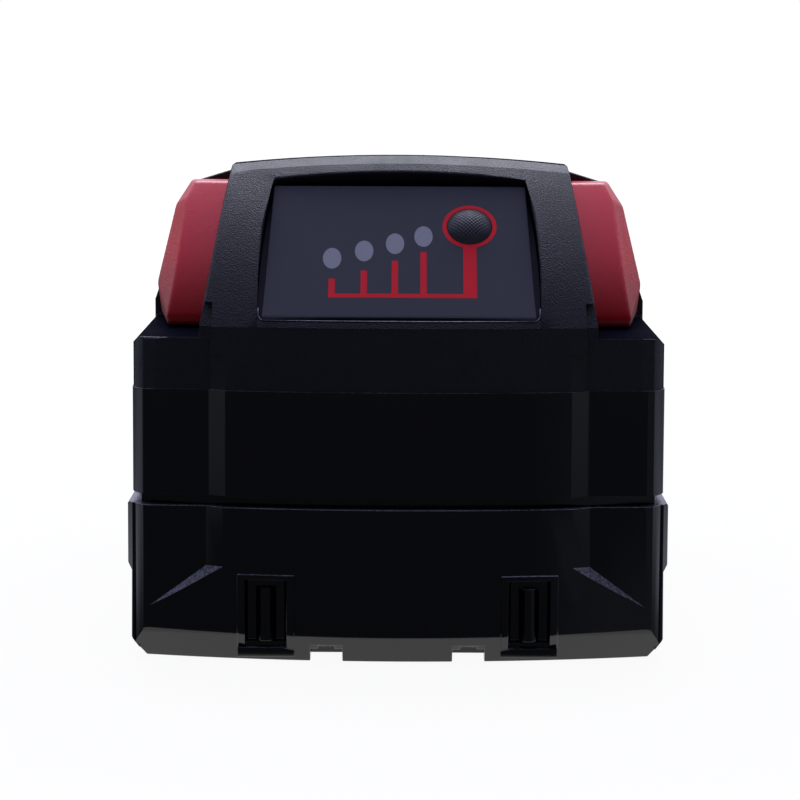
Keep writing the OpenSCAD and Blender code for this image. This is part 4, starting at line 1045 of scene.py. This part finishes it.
def build_spring_tree():
    tree, given, result = new_group("Geometry", "wound_spring", {
        "Geometry": "Geometry", "Mean Radius": "Float", "Wire Radius": "Float", "Length": "Float",
        "Turns": "Float", "Wire": "Material"}, {"Geometry": "Geometry"})
    mean = given["Mean Radius"]
    spiral = shape(tree, "CurveSpiral", Resolution=36, Rotations=given["Turns"], Start_Radius=mean,
                   End_Radius=mean, Height=0.0)
    along = shape(tree, "SplineParameter")["Factor"]
    wound = ramp(tree, along, low=0.11, high=0.89, start=0.02, end=0.98)
    closed = calc(tree, "MULTIPLY", along, 0.04)
    even = ramp(tree, calc(tree, "ADD", wound, closed), low=0.02, high=1.02)
    lift = place(tree, "CombineXYZ", {"Z": calc(tree, "MULTIPLY", even, given["Length"])}).outputs[0]
    path = shape(tree, "SetPosition", Geometry=spiral[0], Offset=lift)
    ring = shape(tree, "CurvePrimitiveCircle", Resolution=10, Radius=given["Wire Radius"])
    tube = shape(tree, "CurveToMesh", Curve=path[0], Profile_Curve=ring[0], Fill_Caps=True)
    smooth = shape(tree, "SetShadeSmooth", Geometry=tube[0])
    return dress_real(tree, smooth[0], given["Wire"], result)


def grow(name, tree, values):
    made = bpy.data.objects.new(name, bpy.data.meshes.new(name))
    scene.collection.objects.link(made)
    modifier = made.modifiers.new("growth", "NODES")
    modifier.node_group = tree
    sockets = {s.name: s.identifier for s in tree.interface.items_tree if s.in_out == "INPUT"}
    for label, value in values.items():
        modifier[sockets[label]] = value
    return settle(made)


def latch_spring(tree, node, name, side):
    low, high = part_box(node)
    wire = 0.3 * MM
    made = grow(name, tree, {"Mean Radius": (high.z - low.z) / 2 - wire, "Wire Radius": wire,
                             "Length": high.x - low.x - 2 * wire, "Turns": 7.0, "Wire": finishes["steel"]})
    mid = (low + high) / 2
    seat = low.x + wire if side > 0 else high.x - wire
    lay_down = Matrix.Rotation(side * math.pi / 2, 4, "Y")
    made.data.transform(Matrix.Translation((seat, mid.y, mid.z)) @ lay_down)
    stand_for(made, node)
    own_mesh(made)
    return made


spring_tree = build_spring_tree()
springs = [latch_spring(spring_tree, "latch_spring_right", "wire_spring_right", 1),
           latch_spring(spring_tree, "latch_spring_left", "wire_spring_left", -1)]
print("springs:", [len(s.data.polygons) for s in springs], "faces")

# %% [markdown]
# Four screws close the case from below. One screw is turned from a profile with a domed head, a socket
# for the driver and the rings of its thread. Geometry Nodes set a copy on each of four points, and
# the copies are made real, because the export keeps no instances.

# %% Case screws by Geometry Nodes
def screw_profile(head_r, head_h, shank_r, length):
    socket_r, socket_h, pitch, depth = 0.45 * head_r, 0.62 * head_h, 1.0 * MM, 0.22 * MM
    tip, root = head_h + length, shank_r - depth
    profile = [(0.0, socket_h), (socket_r, socket_h), (socket_r, 0.06 * head_h), (socket_r + 0.1 * MM, 0.0)]
    for k in range(7):
        a = math.pi / 2 * k / 6
        profile.append((head_r - 0.5 * head_h * (1 - math.sin(a)), 0.5 * head_h * (1 - math.cos(a))))
    profile += [(head_r, head_h), (shank_r, head_h)]
    z = head_h + 2 * MM
    while z < tip - 2 * MM:
        profile += [(root, z), (root, z + 0.35 * pitch)]
        profile += [(shank_r, z + 0.6 * pitch), (shank_r, z + 0.7 * pitch)]
        z += pitch
    return profile + [(root, tip - 1.2 * MM), (0.25 * shank_r, tip), (0.0, tip)]


def turned_screw(profile, count=30, lobes=6, lobe_share=0.16):
    bm = bmesh.new()
    rows = []
    for j, (r, z) in enumerate(profile):
        if r == 0.0:
            rows.append([bm.verts.new((0, 0, z))] * count)
            continue
        row = []
        for k in range(count):
            a = 2 * math.pi * k / count
            lobe = 1.0 + (lobe_share * math.cos(lobes * a) if j in (1, 2) else 0.0)
            row.append(bm.verts.new((r * lobe * math.cos(a), r * lobe * math.sin(a), z)))
        rows.append(row)
    join_rows(bm, rows)
    bmesh.ops.recalc_face_normals(bm, faces=bm.faces)
    return as_piece(bm, "turned_screw", "steel", smooth=False)


def build_screw_tree():
    tree, given, result = new_group("Geometry", "four_screws", {
        "Geometry": "Geometry", "Pattern": "Object", "Width": "Float", "Length": "Float",
        "Middle": "Vector", "Plating": "Material"}, {"Geometry": "Geometry"})
    grid = shape(tree, "MeshGrid", Size_X=given["Width"], Size_Y=given["Length"], Vertices_X=2, Vertices_Y=2)
    moved = shape(tree, "Transform", Geometry=grid[0], Translation=given["Middle"])
    points = shape(tree, "MeshToPoints", Mesh=moved[0])
    screw = shape(tree, "ObjectInfo", Object=given["Pattern"])["Geometry"]
    copies = shape(tree, "InstanceOnPoints", Points=points[0], Instance=screw)
    return dress_real(tree, copies[0], given["Plating"], result)


def case_screws(head_r, head_h, shank_r):
    low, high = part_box("case_screws")
    pattern = turned_screw(screw_profile(head_r, head_h, shank_r, high.z - low.z - head_h))
    middle = ((low.x + high.x) / 2, (low.y + high.y) / 2, low.z)
    made = grow("turned_case_screws", build_screw_tree(), {
        "Pattern": pattern, "Width": high.x - low.x - 2 * head_r, "Length": high.y - low.y - 2 * head_r,
        "Middle": middle, "Plating": finishes["steel"]})
    bpy.data.objects.remove(pattern)
    return stand_for(made, "case_screws")


screws = case_screws(2.3 * MM, 1.8 * MM, 1.25 * MM)
print("case screws faces", len(screws.data.polygons))
